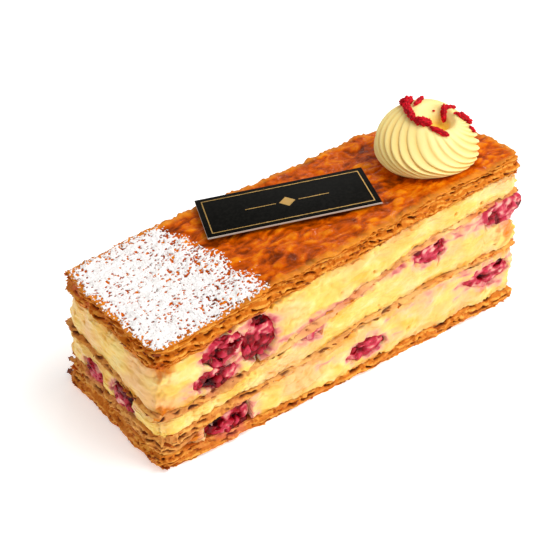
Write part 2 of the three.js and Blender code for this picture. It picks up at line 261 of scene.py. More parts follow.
class CreamLook(bpy.types.PropertyGroup):
    """Custard cream between the sheets."""
    step: length("Detail", 0.32, "Mesh step of the cut cream")
    lump: length("Lumps", 0.5, "How uneven the cut is")
    torn: length("Torn", 0.8, "Depth of the torn texture")
    bulge: length("Bulge", 0.8, "How far the cream swells out between the sheets")
    overlap: length("Overlap", 0.9, "How far the cream laps over the sheets' edges")
    tooth: length("Teeth", 1.1, "How ragged the cream's edge is where it laps over")
    chip: length("Chipped", 2.2, "How much is torn off at the corners")
    light: shade("Light", "#FDE094", "Whipped patches")
    pale: shade("Pale", "#FBD26E", "Main cream")
    deep: shade("Deep", "#F5BE4C", "Richer patches")
    peach: shade("Peach", "#F6BC84", "Where berry water has warmed the cream")
    # Pit is painted shade, in the pits and in the creases between the curds
    pit: shade("Pit", "#DE9A22", "Inside pits")
    toast: shade("Toasted", "#DE7C12", "Browned cream")
    blush: shade("Blush", "#F3AE9C", "Cream touched by juice")
    juice: shade("Juice", "#C43054", "Cream soaked with juice")


class BerryLook(bpy.types.PropertyGroup):
    """Crushed berries in the cuts."""
    cuts: count("Detail", 7, "Cuts in each edge of a berry's solid")
    drupelet: length("Drupelet", 2.7, "Width of a drupelet")
    lump: length("Lumps", 0.8, "How far drupelets stand out")
    cavity: length("Cavity", 1.7, "How deep the crushed hollows are")
    flush: share("Flush", 0.25, "Where the cut flattens a berry, as a share of its depth from the middle")
    spread: length("Spread", 0.9, "How far the rims are pressed into the cream round them")
    # Dark fills the crushed hollows: the juice's own dark, partly painted shade
    dark: shade("Dark", "#320004", "Juice in the hollows")
    red: shade("Red", "#9C0418", "Main red")
    pink: shade("Pulp", "#CC3450", "Crushed pulp")
    film: shade("Film", "#F2B8A6", "Cream smeared over the pulp")


class RosetteLook(bpy.types.PropertyGroup):
    """The piped cream rosette."""
    x: length("X", 42.32, "Axis along the slice")
    y: length("Y", -4.45, "Axis across the slice")
    radius: length("Radius", 15.1, "Radius of the rosette")
    height: length("Height", 12.6, "Height of the rosette on its axis")
    ridges: count("Ridges", 31, "Ridges from the star nozzle")
    ridge: length("Ridge depth", 0.62, "Depth of the ridges")
    twist_wall: share("Twist, wall", 1.9, "How far the ridges turn up the wall, in radians")
    twist_top: share("Twist, top", 1.2, "How far the ridges turn in over the top, in radians")
    twist_uneven: share("Uneven twist", 0.45, "How much more they turn at the front left than at the back")
    lip: length("Lip", 1.0, "How far the near side of the pit stands up")
    lean_right: share("Lean right", -0.26, "How far it rises to the right as seen, per radius")
    lean_away: share("Lean away", 0.44, "How far it rises to the back as seen, per radius")
    pit_right: length("Pit right", 4.4, "How far the pit lies to the right of the axis")
    pit_away: length("Pit away", 2.4, "How far the pit lies behind the axis")
    cream: shade("Cream", "#FFE698", "Piped cream")
    # Painted shade: Warm darkens the valleys, Golden the cream down in the pit
    warm: shade("Warm", "#EBB440", "Cream in the valleys")
    golden: shade("Golden", "#F6C53C", "Cream down in the pit")
    dried: shade("Dried berry", "#E00E24", "Dried berry bits")
    # Dried berry, dark: grains that differ at random, and painted shade in the grooves between them
    dried_dark: shade("Dried berry, dark", "#A60414", "Dark grains of the dried berry bits")


class CardLook(bpy.types.PropertyGroup):
    """The small card with its gold frame."""
    inset: length("Frame inset", 1.7, "From the card's edge to the gold frame")
    line: length("Line", 0.3, "Width of the gold lines")
    rule: length("Rule", 9, "Length of the short rules")
    lozenge: length("Lozenge", 2.4, "From the lozenge's middle to its points")
    foil: length("Foil", 0.03, "Thickness of the foil")
    black: shade("Board", "#0A0A08", "Printed face")
    edge: shade("Cut edge", "#D9D3C6", "Cut edge of the board")
    gold: shade("Gold", "#C79A3C", "Foil")


class SugarLook(bpy.types.PropertyGroup):
    """Icing sugar on the near third."""
    reach: length("Reach", 40, "From the near end to where the dusting stops")
    slant: share("Slant", -0.14, "How far the dusting's end runs on per length across")
    step: length("Detail", 0.22, "Mesh step of the powder")
    thick: length("Thickness", 0.26, "Thickness of the powder")
    grains: count("Grains", 2200, "Loose grains round the powder")
    grain: length("Grain", 0.2, "Radius of a loose grain")
    white: shade("White", "#FFFEFC", "Icing sugar")
    dim: shade("Dim", "#E9E2E2", "Thin icing sugar")


class StageLook(bpy.types.PropertyGroup):
    """Floor, light and camera."""
    target: bpy.props.FloatVectorProperty(
        name="Target", description="Where the camera looks", default=(-0.00466, 0.00586, 0.01881),
        subtype="XYZ", unit="LENGTH")
    azimuth: bpy.props.FloatProperty(
        name="Azimuth", description="Turn of the camera round the slice", default=math.radians(-37.32),
        unit="ROTATION")
    elevation: bpy.props.FloatProperty(
        name="Elevation", description="Camera above the horizon", default=math.radians(34.32),
        unit="ROTATION")
    distance: length("Distance", 325.38, "From the camera to its target")
    lens: share("Lens", 69.71, "Focal length in mm")
    floor: shade("Floor", "#F6F6F6", "Floor")
    glow: share("Glow", 0.42, "How much light the floor gives off, as a lit white sweep does")
    key: share("Key", 9.8, "Power of the soft main light in watts")
    spark: share("Spark", 0.4, "Power of the small back light that makes wet places glint, in watts")
    air: share("Air", 0.52, "Strength of the light all round")
    tint: shade("Tint", "#FFFCF8", "Colour of the light all round")


def smooth(low, high, value):
    """0 below low and 1 above high, eased between."""
    part = min(max((value - low) / (high - low), 0), 1)
    return part * part * (3 - 2 * part)


def swell(place, size, shift=0.0):
    """Smooth noise from about -1 to 1, with swells of that size."""
    return noise.noise(place / size + Vector((shift, shift * 1.7, shift * 0.6)))


def cells(place, spans, warp, shift=0.0):
    """Distances to the two nearest cell cores, and a random share of the nearest cell."""
    spot = Vector([place[k] / spans[k] + shift for k in range(3)])
    spot += noise.noise_vector(spot * 0.7) * warp
    near, cores = noise.voronoi(spot)
    return near[0], near[1], 0.5 + 0.5 * noise.cell(cores[0] * 19.7)


class LayerForm:
    """Where the side wall and the two faces of a CAD layer lie."""

    def __init__(self, name):
        mesh = frame["nodes"][name].data
        corners = [vert.co for vert in mesh.vertices]
        self.tree = BVHTree.FromPolygons(corners, [face.vertices[:] for face in mesh.polygons])
        low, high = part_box(name)
        self.centre = (low + high) / 2
        self.half = (high - low) / 2 - Vector((GUIDE_INSET, GUIDE_INSET, 0))

    def rim(self, done):
        """A guide point just inside the plan outline, from the near end's middle on, and the way out."""
        reach = self.half - Vector((GUIDE_CORNER, GUIDE_CORNER, 0))
        bend = math.pi * (GUIDE_CORNER + GUIDE_INSET) / 2
        legs = [2 * reach.x, bend, 2 * reach.y, bend] * 2
        walked = (done * sum(legs) - bend - reach.y) % sum(legs)
        leg = 0
        while walked > legs[leg]:
            walked -= legs[leg]
            leg += 1
        hubs = [Vector((a * reach.x, b * reach.y, 0)) for a, b in ((-1, -1), (1, -1), (1, 1), (-1, 1))]
        side = leg // 2
        part = walked / legs[leg]
        angle = math.pi / 2 * (side - 1)
        if leg % 2:
            angle += math.pi / 2 * part
            hub = hubs[(side + 1) % 4]
        else:
            hub = hubs[side].lerp(hubs[(side + 1) % 4], part)
        out = Vector((math.cos(angle), math.sin(angle), 0))
        place = hub + out * GUIDE_CORNER
        return Vector((place.x + self.centre.x, place.y + self.centre.y, 0)), out

    def faces(self, place):
        """Heights of the lower and the upper face at a plan point."""
        low = self.tree.ray_cast(Vector((place.x, place.y, -1)), UP)[0]
        high = self.tree.ray_cast(Vector((place.x, place.y, 1)), -UP)[0]
        if low is None:
            low = high = self.tree.find_nearest(Vector((place.x, place.y, self.centre.z)))[0]
        return low.z, high.z

    def edges(self, guide, out):
        """Heights of both faces at the rim, carried on from inside along the layer's slope."""
        here = self.faces(guide)
        inner = self.faces(guide - out * SLOPE_SPAN)
        run = abs(out.x) * GUIDE_INSET / SLOPE_SPAN
        return [a + (a - b) * run for a, b in zip(here, inner)]

    def spine(self, place):
        """The nearest point of the layer's middle line."""
        reach = self.half.x - self.half.y
        along = min(max(place.x - self.centre.x, -reach), reach)
        return Vector((self.centre.x + along, self.centre.y, 0))

    def wall(self, guide, out, low, high, level):
        """The wall's point outside a guide point, at a share of the height."""
        height = low + (high - low) * level
        aim = min(max(height, low + RAY_MARGIN), max(high - RAY_MARGIN, low + RAY_MARGIN))
        start = Vector((guide.x, guide.y, aim)) + out * RAY_START
        hit = self.tree.ray_cast(start, -out, 2 * RAY_START)[0]
        if hit is None:
            hit = self.tree.find_nearest(start - out * RAY_START)[0]
        return Vector((hit.x, hit.y, height))


def layer_mesh(form, along, up, relief, trim=0.0):
    """A closed layer whose side follows the CAD wall and whose faces run in to its middle line.
    relief(place, level, turn) gives how far a point stands out, how far it rises and its attribute values;
    turn is 1 at the corners and 0 on the straight sides."""
    columns = 2 * round(2 * (form.half.x + form.half.y) / along)
    spots = []
    for k in range(columns + 1):
        guide, out = form.rim(k / columns)
        low, high = form.edges(guide, out)
        spots.append((guide, out, low, high - trim))
    rows = max(4, round(max(high - low for _, _, low, high in spots) / up))
    bm = bmesh.new()
    bmesh.ops.create_grid(bm, x_segments=columns, y_segments=rows + 2, size=0.5)
    stores = {name: bm.verts.layers.float.new(name) for name in (HOLLOW, STAIN, SOAK, TOAST)}
    for vert in bm.verts:
        guide, out, low, high = spots[round((vert.co.x + 0.5) * columns)]
        row = round((vert.co.y + 0.5) * (rows + 2)) - 1
        if row in (-1, rows + 1):
            middle = form.spine(guide)
            low, high = form.faces(middle)
            dip = CAP_DIP * (high - low)
            vert.co = middle + UP * (low + dip if row < 0 else high - dip)
            # Painted shade: the faces inside the slice take the tone of a deep gap or pit
            vert[stores[HOLLOW]] = 0.8
            continue
        place = form.wall(guide, out, low, high, row / rows)
        turn = (1 / max(abs(out.x), abs(out.y)) - 1) / (math.sqrt(2) - 1)
        push, lift, values = relief(place, row / rows, turn)
        full = smooth(0.3 * MM, THIN, high - low)
        vert.co = place + (out * push + UP * lift) * full
        for name, value in values.items():
            vert[stores[name]] = value
    bmesh.ops.remove_doubles(bm, verts=bm.verts, dist=0.01 * MM)
    bmesh.ops.dissolve_degenerate(bm, edges=bm.edges, dist=0.005 * MM)
    return bm


def keep_piece(bm, name, materials, slot, *stands_for, smooth_faces=True):
    """Turns a bmesh, its faces outwards, into a finished piece that rides with the slice."""
    bmesh.ops.recalc_face_normals(bm, faces=bm.faces)
    if bm.calc_volume(signed=True) < 0:
        bmesh.ops.reverse_faces(bm, faces=bm.faces)
    mesh = bpy.data.meshes.new(name)
    bm.to_mesh(mesh)
    bm.free()
    keep_mesh(mesh, name, materials, slot, *stands_for, smooth_faces=smooth_faces)


def keep_mesh(mesh, name, materials, slot, *stands_for, smooth_faces=True):
    """Puts a mesh in the scene, held inside the CAD box, as a piece that rides with the slice."""
    corners = np.empty(len(mesh.vertices) * 3)
    mesh.vertices.foreach_get("co", corners)
    mesh.vertices.foreach_set("co", np.clip(corners.reshape(-1, 3), *CAD_BOX).reshape(-1))
    if smooth_faces:
        mesh.shade_smooth()
    for material in materials:
        mesh.materials.append(material)
    piece = bpy.data.objects.new(name, mesh)
    bpy.context.scene.collection.objects.link(piece)
    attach(piece, "root")
    if stands_for:
        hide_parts(*stands_for)


def joined_copies(name, template, poses):
    """One mesh with a copy of a small shape at each pose, and each copy's number from 0 to 1 as PICK."""
    corners = np.array([vert.co for vert in template.verts])
    faces = [[vert.index for vert in face.verts] for face in template.faces]
    verts = []
    polygons = []
    picks = []
    for number, pose in enumerate(poses):
        turned = np.array(pose)
        first = len(verts)
        verts.extend((corners @ turned[:3, :3].T + turned[:3, 3]).tolist())
        polygons.extend([first + k for k in face] for face in faces)
        picks.extend([(number * 0.618034) % 1.0] * len(corners))
    mesh = bpy.data.meshes.new(name)
    mesh.from_pydata(verts, [], polygons)
    mesh.attributes.new(PICK, "FLOAT", "POINT").data.foreach_set("value", picks)
    template.free()
    return mesh


def cad_copy(name):
    """A merged bmesh copy of a CAD node."""
    bm = bmesh.new()
    bm.from_mesh(frame["nodes"][name].data)
    bmesh.ops.remove_doubles(bm, verts=bm.verts, dist=0.01 * MM)
    return bm


def piece_tree(name):
    """A ray target made from a piece that is already in the scene."""
    mesh = bpy.data.objects[name].data
    corners = [vert.co for vert in mesh.vertices]
    return BVHTree.FromPolygons(corners, [face.vertices[:] for face in mesh.polygons])


def juice_stain():
    """A function that gives how strongly berry juice stains a place, from 0 to 1."""
    points = [vert.co for name in BERRIES for vert in frame["nodes"][name].data.vertices]
    tree = kdtree.KDTree(len(points))
    for number, point in enumerate(points):
        tree.insert(point, number)
    tree.balance()
    runs = [(Vector((a, b)) * MM, Vector((c - a, d - b)) * MM, width * MM, most)
            for a, b, c, d, width, most in JUICE_RUNS]

    def stain(place, reach):
        drag = Vector((place.x / 2.6, place.y / 2.6, place.z))
        streaks = swell(drag, 1.6 * MM, 3.1)
        spread = reach * (1 + 0.9 * swell(drag, 2.4 * MM, 5.2) + 0.4 * streaks)
        found = smooth(1, 0, tree.find(place)[2] / max(spread, 0.1 * MM))
        spot = Vector((place.x if place.y < 0 else -place.x, place.z))
        for start, way, width, most in runs:
            along = min(max((spot - start).dot(way) / way.length_squared, 0), 1)
            away = (spot - start - way * along).length / (width * (1 + 0.8 * streaks))
            streaky = max(smooth(-0.35, 0.25, streaks), 2 * most - 1)
            found = max(found, most * smooth(1, 0, away) * streaky)
        return found

    return stain


def browning(place):
    """How strongly the browned spots reach a place, from 0 to 1."""
    ragged = 1 + 0.7 * swell(place, 2.2 * MM, 4.4) + 0.3 * swell(place, 0.9 * MM, 6.1)
    return max(smooth(1, 0.35, (place - Vector((x, y, z)) * MM).length / (radius * MM * ragged))
               for x, y, z, radius in TOASTED)


def node(tree, kind, fields=None, values=None, links=None, stops=None):
    """Adds one shader node with its fields, socket values, incoming links and ramp stops."""
    made = tree.nodes.new("ShaderNode" + kind)
    for name, value in (fields or {}).items():
        setattr(made, name, value)
    for name, value in (values or {}).items():
        made.inputs[name].default_value = value
    for name, source in (links or {}).items():
        tree.links.new(source, made.inputs[name])
    for number, (place, colour) in enumerate(stops or ()):
        spots = made.color_ramp.elements
        spot = spots[number] if number < 2 else spots.new(place)
        spot.position = place
        spot.color = colour
    return made


def new_material(name):
    """An empty node material with its tree."""
    material = bpy.data.materials.new(name)
    material.use_nodes = True
    material.node_tree.nodes.clear()
    return material, material.node_tree


def per(size_mm):
    """The texture scale whose features are that many millimetres across."""
    return 1 / (size_mm * MM)


# Baked puff pastry, cut: thin leaf edges painted light as if lit, gaps painted brown as shade, matt and dry
def puff_pastry(look):
    material, tree = new_material("baked_puff_pastry")
    spot = node(tree, "TexCoord").outputs["Object"]
    hollow = node(tree, "Attribute", {"attribute_name": HOLLOW}).outputs["Fac"]
    stain = node(tree, "Attribute", {"attribute_name": STAIN}).outputs["Fac"]
    soak = node(tree, "Attribute", {"attribute_name": SOAK}).outputs["Fac"]
    toast = node(tree, "Attribute", {"attribute_name": TOAST}).outputs["Fac"]
    uneven = node(tree, "TexNoise", values={"Scale": per(5), "Detail": 3.0}, links={"Vector": spot})
    fine = node(tree, "TexNoise", values={"Scale": per(0.6), "Detail": 2.0}, links={"Vector": spot})
    # Painted light and shade: light on the leaves' edges, brown to near black deeper in the gaps
    leaf = node(tree, "ValToRGB", links={"Fac": hollow}, stops=(
        (0.0, look.lit), (0.2, look.gold), (0.55, look.brown), (0.95, look.dark)))
    patch = node(tree, "MapRange", values={"From Min": 0.5, "From Max": 0.75, "To Max": 0.6},
                 links={"Value": uneven.outputs["Fac"]})
    browned = node(tree, "Math", {"operation": "MAXIMUM"}, links={0: patch.outputs[0], 1: toast})
    solid = node(tree, "Math", {"operation": "SUBTRACT", "use_clamp": True}, {0: 1.0}, {1: hollow})
    amount = node(tree, "Math", {"operation": "MULTIPLY"},
                  links={0: browned.outputs[0], 1: solid.outputs[0]})
    baked = node(tree, "Mix", {"data_type": "RGBA"}, {7: look.ember},
                 {0: amount.outputs[0], 6: leaf.outputs[0]})
    pale = node(tree, "Mix", {"data_type": "RGBA"}, {7: look.soaked}, {0: soak, 6: baked.outputs[2]})
    colour = node(tree, "Mix", {"data_type": "RGBA"}, {7: look.juice}, {0: stain, 6: pale.outputs[2]})
    relief = node(tree, "Bump", values={"Distance": 0.12 * MM}, links={"Height": fine.outputs["Fac"]})
    surface = node(tree, "BsdfPrincipled", values={"Roughness": 0.6, "Specular IOR Level": 0.12},
                   links={"Base Color": colour.outputs[2], "Normal": relief.outputs[0]})
    node(tree, "OutputMaterial", links={"Surface": surface.outputs[0]})
    return material


# Loose flakes: single thin leaves, from pale gold to toasted brown, a little buttery
def loose_leaf(look):
    material, tree = new_material("loose_pastry_leaf")
    spot = node(tree, "TexCoord").outputs["Object"]
    pick = node(tree, "Attribute", {"attribute_name": PICK}).outputs["Fac"]
    fine = node(tree, "TexNoise", values={"Scale": per(0.8), "Detail": 3.0}, links={"Vector": spot})
    mixed = node(tree, "Math", {"operation": "MULTIPLY_ADD"}, values={1: 0.5},
                 links={0: fine.outputs["Fac"], 2: pick})
    tone = node(tree, "ValToRGB", links={"Fac": mixed.outputs[0]}, stops=(
        (0.3, look.lit), (0.7, look.gold), (0.95, look.ember), (1.0, look.brown)))
    relief = node(tree, "Bump", values={"Distance": 0.08 * MM}, links={"Height": fine.outputs["Fac"]})
    surface = node(tree, "BsdfPrincipled", values={"Roughness": 0.45, "Specular IOR Level": 0.3},
                   links={"Base Color": tone.outputs[0], "Normal": relief.outputs[0]})
    node(tree, "OutputMaterial", links={"Surface": surface.outputs[0]})
    return material


# Caramelised glaze: burnt sugar on pastry in patches; blister tops painted amber as lit, creases dark as
# shade; wet gloss
def caramel_glaze(look):
    material, tree = new_material("caramelised_glaze")
    spot = node(tree, "TexCoord").outputs["Object"]
    rise = node(tree, "Attribute", {"attribute_name": HOLLOW}).outputs["Fac"]
    rim = node(tree, "Attribute", {"attribute_name": SOAK}).outputs["Fac"]
    drawn = node(tree, "Mapping", values={"Scale": (0.8, 1.1, 1.0)}, links={"Vector": spot})
    patch = node(tree, "TexNoise", values={"Scale": per(6), "Detail": 4.0, "Roughness": 0.6,
                                           "Distortion": 0.8}, links={"Vector": drawn.outputs[0]})
    fine = node(tree, "TexNoise", values={"Scale": per(0.9), "Detail": 3.0}, links={"Vector": spot})
    # Painted light and shade: blister tops shift towards amber, creases towards burnt
    mixed = node(tree, "Math", {"operation": "MULTIPLY_ADD"}, values={1: -0.2},
                 links={0: rise, 2: patch.outputs["Fac"]})
    tone = node(tree, "ValToRGB", links={"Fac": mixed.outputs[0]}, stops=(
        (0.24, look.amber), (0.42, look.caramel), (0.62, look.burnt)))
    colour = node(tree, "Mix", {"data_type": "RGBA"}, {7: look.rim}, {0: rim, 6: tone.outputs[0]})
    gloss = node(tree, "MapRange", values={"To Min": 0.15, "To Max": 0.4},
                 links={"Value": fine.outputs["Fac"]})
    relief = node(tree, "Bump", values={"Distance": 0.15 * MM}, links={"Height": fine.outputs["Fac"]})
    surface = node(tree, "BsdfPrincipled",
                   values={"Specular IOR Level": 0.03, "Coat Weight": 0.04, "Coat Roughness": 0.05},
                   links={"Base Color": colour.outputs[2], "Roughness": gloss.outputs[0],
                          "Normal": relief.outputs[0]})
    node(tree, "OutputMaterial", links={"Surface": surface.outputs[0]})
    return material


# Custard cream: egg-yellow, light goes a little way in, pits and creases painted darker as shade, stained
# pink where juice has run
def custard_cream(look):
    material, tree = new_material("custard_cream")
    spot = node(tree, "TexCoord").outputs["Object"]
    hollow = node(tree, "Attribute", {"attribute_name": HOLLOW}).outputs["Fac"]
    stain = node(tree, "Attribute", {"attribute_name": STAIN}).outputs["Fac"]
    soak = node(tree, "Attribute", {"attribute_name": SOAK}).outputs["Fac"]
    toast = node(tree, "Attribute", {"attribute_name": TOAST}).outputs["Fac"]
    dragged = node(tree, "Mapping", values={"Scale": (0.6, 0.6, 1.0)}, links={"Vector": spot})
    rich = node(tree, "TexNoise", values={"Scale": per(4), "Detail": 3.0, "Distortion": 0.4},
                links={"Vector": dragged.outputs[0]})
    fine = node(tree, "TexNoise", values={"Scale": per(0.8), "Detail": 3.0}, links={"Vector": spot})
    body = node(tree, "ValToRGB", links={"Fac": rich.outputs["Fac"]}, stops=(
        (0.32, look.light), (0.5, look.pale), (0.7, look.deep)))
    broad = node(tree, "TexNoise", values={"Scale": per(9), "Detail": 2.0},
                 links={"Vector": dragged.outputs[0]})
    warmth = node(tree, "MapRange", values={"From Min": 0.46, "From Max": 0.64, "To Max": 0.7},
                  links={"Value": broad.outputs["Fac"]})
    warm = node(tree, "Mix", {"data_type": "RGBA"}, {7: look.peach},
                {0: warmth.outputs[0], 6: body.outputs[0]})
    # Painted shade in the pits and between the curds
    pit_shaded = node(tree, "Mix", {"data_type": "RGBA"}, {7: look.pit}, {0: hollow, 6: warm.outputs[2]})
    # The pit colour also comes in patches where the cream meets the sheets
    soaked = node(tree, "Mix", {"data_type": "RGBA"}, {7: look.pit}, {0: soak, 6: pit_shaded.outputs[2]})
    browned = node(tree, "Mix", {"data_type": "RGBA"}, {7: look.toast}, {0: toast, 6: soaked.outputs[2]})
    touched = node(tree, "MapRange", values={"From Max": 0.5, "To Max": 0.8}, links={"Value": stain})
    juicy = node(tree, "MapRange", values={"From Min": 0.35, "From Max": 0.9, "To Max": 0.9},
                 links={"Value": stain})
    pinked = node(tree, "Mix", {"data_type": "RGBA"}, {7: look.blush},
                  {0: touched.outputs[0], 6: browned.outputs[2]})
    colour = node(tree, "Mix", {"data_type": "RGBA"}, {7: look.juice},
                  {0: juicy.outputs[0], 6: pinked.outputs[2]})
    relief = node(tree, "Bump", values={"Distance": 0.1 * MM}, links={"Height": fine.outputs["Fac"]})
    surface = node(tree, "BsdfPrincipled",
                   values={"Roughness": 0.32, "Specular IOR Level": 0.22, "Subsurface Weight": 0.45,
                           "Subsurface Scale": 1.2 * MM, "Subsurface Radius": (1.0, 0.75, 0.3)},
                   links={"Base Color": colour.outputs[2], "Normal": relief.outputs[0]})
    node(tree, "OutputMaterial", links={"Surface": surface.outputs[0]})
    return material


# Crushed berries: near black in the hollows, partly juice and partly painted shade, crimson drupelets,
# magenta pulp, a film of cream
def crushed_berry(look):
    material, tree = new_material("crushed_berry")
    spot = node(tree, "TexCoord").outputs["Object"]
    flesh = node(tree, "Attribute", {"attribute_name": SOAK}).outputs["Fac"]
    torn = node(tree, "TexNoise", values={"Scale": per(0.8), "Detail": 3.0}, links={"Vector": spot})
    mixed = node(tree, "Math", {"operation": "MULTIPLY_ADD"}, values={1: 0.25},
                 links={0: torn.outputs["Fac"], 2: flesh})
    tone = node(tree, "ValToRGB", links={"Fac": mixed.outputs[0]}, stops=(
        (0.14, look.dark), (0.42, look.red), (0.72, look.pink), (1.0, look.film)))
    gloss = node(tree, "MapRange", values={"From Min": 0.2, "From Max": 0.8, "To Min": 0.16, "To Max": 0.5},
                 links={"Value": flesh})
    relief = node(tree, "Bump", values={"Distance": 0.15 * MM}, links={"Height": torn.outputs["Fac"]})
    surface = node(tree, "BsdfPrincipled",
                   values={"Specular IOR Level": 0.1, "Coat Weight": 0.15, "Coat Roughness": 0.06,
                           "Subsurface Weight": 0.12, "Subsurface Scale": 0.8 * MM},
                   links={"Base Color": tone.outputs[0], "Roughness": gloss.outputs[0],
                          "Normal": relief.outputs[0]})
    node(tree, "OutputMaterial", links={"Surface": surface.outputs[0]})
    return material


# Piped cream: whipped smooth, pale ridges with a soft gloss, valleys painted warm as shade, the pit painted
# golden as shade
def piped_cream(look):
    material, tree = new_material("piped_custard_cream")
    spot = node(tree, "TexCoord").outputs["Object"]
    hollow = node(tree, "Attribute", {"attribute_name": HOLLOW}).outputs["Fac"]
    pit = node(tree, "Attribute", {"attribute_name": SOAK}).outputs["Fac"]
    fine = node(tree, "TexNoise", values={"Scale": per(1.5), "Detail": 3.0}, links={"Vector": spot})
    # Painted shade: warm in the valleys, golden down in the pit
    ridged = node(tree, "Mix", {"data_type": "RGBA"}, {6: look.cream, 7: look.warm}, {0: hollow})
    colour = node(tree, "Mix", {"data_type": "RGBA"}, {7: look.golden}, {0: pit, 6: ridged.outputs[2]})
    relief = node(tree, "Bump", values={"Distance": 0.06 * MM}, links={"Height": fine.outputs["Fac"]})
    surface = node(tree, "BsdfPrincipled",
                   values={"Roughness": 0.4, "Specular IOR Level": 0.35, "Subsurface Weight": 0.3,
                           "Subsurface Scale": 0.8 * MM, "Subsurface Radius": (1.0, 0.8, 0.45)},
                   links={"Base Color": colour.outputs[2], "Normal": relief.outputs[0]})
    node(tree, "OutputMaterial", links={"Surface": surface.outputs[0]})
    return material


# Freeze-dried berry: crumbly red grains, grooves painted dark as shade, dull with a few bright facets
def dried_berry(look):
    material, tree = new_material("dried_berry")
    spot = node(tree, "TexCoord").outputs["Object"]
    pick = node(tree, "Attribute", {"attribute_name": PICK}).outputs["Fac"]
    fine = node(tree, "TexNoise", values={"Scale": per(0.5), "Detail": 2.0}, links={"Vector": spot})
    tone = node(tree, "ValToRGB", links={"Fac": pick}, stops=((0.05, look.dried_dark), (0.5, look.dried)))
    relief = node(tree, "Bump", values={"Distance": 0.2 * MM}, links={"Height": fine.outputs["Fac"]})
    surface = node(tree, "BsdfPrincipled", values={"Roughness": 0.4, "Specular IOR Level": 0.12},
                   links={"Base Color": tone.outputs[0], "Normal": relief.outputs[0]})
    node(tree, "OutputMaterial", links={"Surface": surface.outputs[0]})
    return material


# Coated black board: a faint fibre under a satin print
def black_board(look):
    material, tree = new_material("black_coated_board")
    spot = node(tree, "TexCoord").outputs["Object"]
    fibre = node(tree, "TexNoise", values={"Scale": per(0.9), "Detail": 4.0}, links={"Vector": spot})
    gloss = node(tree, "MapRange", values={"To Min": 0.4, "To Max": 0.55},
                 links={"Value": fibre.outputs["Fac"]})
    tint = node(tree, "MapRange", values={"From Min": 0.4, "From Max": 0.7, "To Max": 0.008},
                links={"Value": fibre.outputs["Fac"]})
    colour = node(tree, "Mix", {"data_type": "RGBA"}, {6: look.black, 7: look.edge}, {0: tint.outputs[0]})
    relief = node(tree, "Bump", values={"Distance": 0.01 * MM}, links={"Height": fibre.outputs["Fac"]})
    surface = node(tree, "BsdfPrincipled", values={"Specular IOR Level": 0.03},
                   links={"Base Color": colour.outputs[2], "Roughness": gloss.outputs[0],
                          "Normal": relief.outputs[0]})
    node(tree, "OutputMaterial", links={"Surface": surface.outputs[0]})
    return material


# Cut board edge: pale pressed paper fibres
def board_edge(look):
    material, tree = new_material("cut_board_edge")
    spot = node(tree, "TexCoord").outputs["Object"]
    fibre = node(tree, "TexNoise", values={"Scale": per(0.5), "Detail": 3.0}, links={"Vector": spot})
    tint = node(tree, "MapRange", values={"To Max": 0.2}, links={"Value": fibre.outputs["Fac"]})
    colour = node(tree, "Mix", {"data_type": "RGBA"}, {6: look.edge, 7: look.black}, {0: tint.outputs[0]})
    relief = node(tree, "Bump", values={"Distance": 0.05 * MM}, links={"Height": fibre.outputs["Fac"]})
    surface = node(tree, "BsdfPrincipled", values={"Roughness": 0.8, "Specular IOR Level": 0.2},
                   links={"Base Color": colour.outputs[2], "Normal": relief.outputs[0]})
    node(tree, "OutputMaterial", links={"Surface": surface.outputs[0]})
    return material


# Stamped gold foil: warm metal, slightly uneven where it was pressed into the board
def gold_foil(look):
    material, tree = new_material("stamped_gold_foil")
    spot = node(tree, "TexCoord").outputs["Object"]
    press = node(tree, "TexNoise", values={"Scale": per(1.2), "Detail": 3.0}, links={"Vector": spot})
    gloss = node(tree, "MapRange", values={"To Min": 0.3, "To Max": 0.55},
                 links={"Value": press.outputs["Fac"]})
    tint = node(tree, "MapRange", values={"To Max": 0.25}, links={"Value": press.outputs["Fac"]})
    colour = node(tree, "Mix", {"data_type": "RGBA"}, {6: look.gold, 7: look.edge}, {0: tint.outputs[0]})
    relief = node(tree, "Bump", values={"Distance": 0.02 * MM}, links={"Height": press.outputs["Fac"]})
    surface = node(tree, "BsdfPrincipled", values={"Metallic": 1.0},
                   links={"Base Color": colour.outputs[2], "Roughness": gloss.outputs[0],
                          "Normal": relief.outputs[0]})
    node(tree, "OutputMaterial", links={"Surface": surface.outputs[0]})
    return material


# Icing sugar: white powder in soft clumps, quite matt
def icing_sugar(look):
    material, tree = new_material("icing_sugar")
    spot = node(tree, "TexCoord").outputs["Object"]
    fine = node(tree, "TexNoise", values={"Scale": per(0.5), "Detail": 2.0}, links={"Vector": spot})
    tint = node(tree, "MapRange", values={"From Min": 0.3, "From Max": 0.6},
                links={"Value": fine.outputs["Fac"]})
    colour = node(tree, "Mix", {"data_type": "RGBA"}, {6: look.dim, 7: look.white}, {0: tint.outputs[0]})
    relief = node(tree, "Bump", values={"Distance": 0.06 * MM}, links={"Height": fine.outputs["Fac"]})
    surface = node(tree, "BsdfPrincipled", values={"Roughness": 0.9, "Specular IOR Level": 0.2},
                   links={"Base Color": colour.outputs[2], "Normal": relief.outputs[0]})
    node(tree, "OutputMaterial", links={"Surface": surface.outputs[0]})
    return material


# Studio floor: matt white paper
def paper_floor(look):
    material, tree = new_material("white_paper_floor")
    spot = node(tree, "TexCoord").outputs["Object"]
    fibre = node(tree, "TexNoise", values={"Scale": per(3)}, links={"Vector": spot})
    relief = node(tree, "Bump", values={"Distance": 0.01 * MM}, links={"Height": fibre.outputs["Fac"]})
    surface = node(tree, "BsdfPrincipled",
                   values={"Base Color": look.floor, "Roughness": 0.9, "Specular IOR Level": 0.1,
                           "Emission Color": look.floor, "Emission Strength": look.glow},
                   links={"Normal": relief.outputs[0]})
    node(tree, "OutputMaterial", links={"Surface": surface.outputs[0]})
    return material


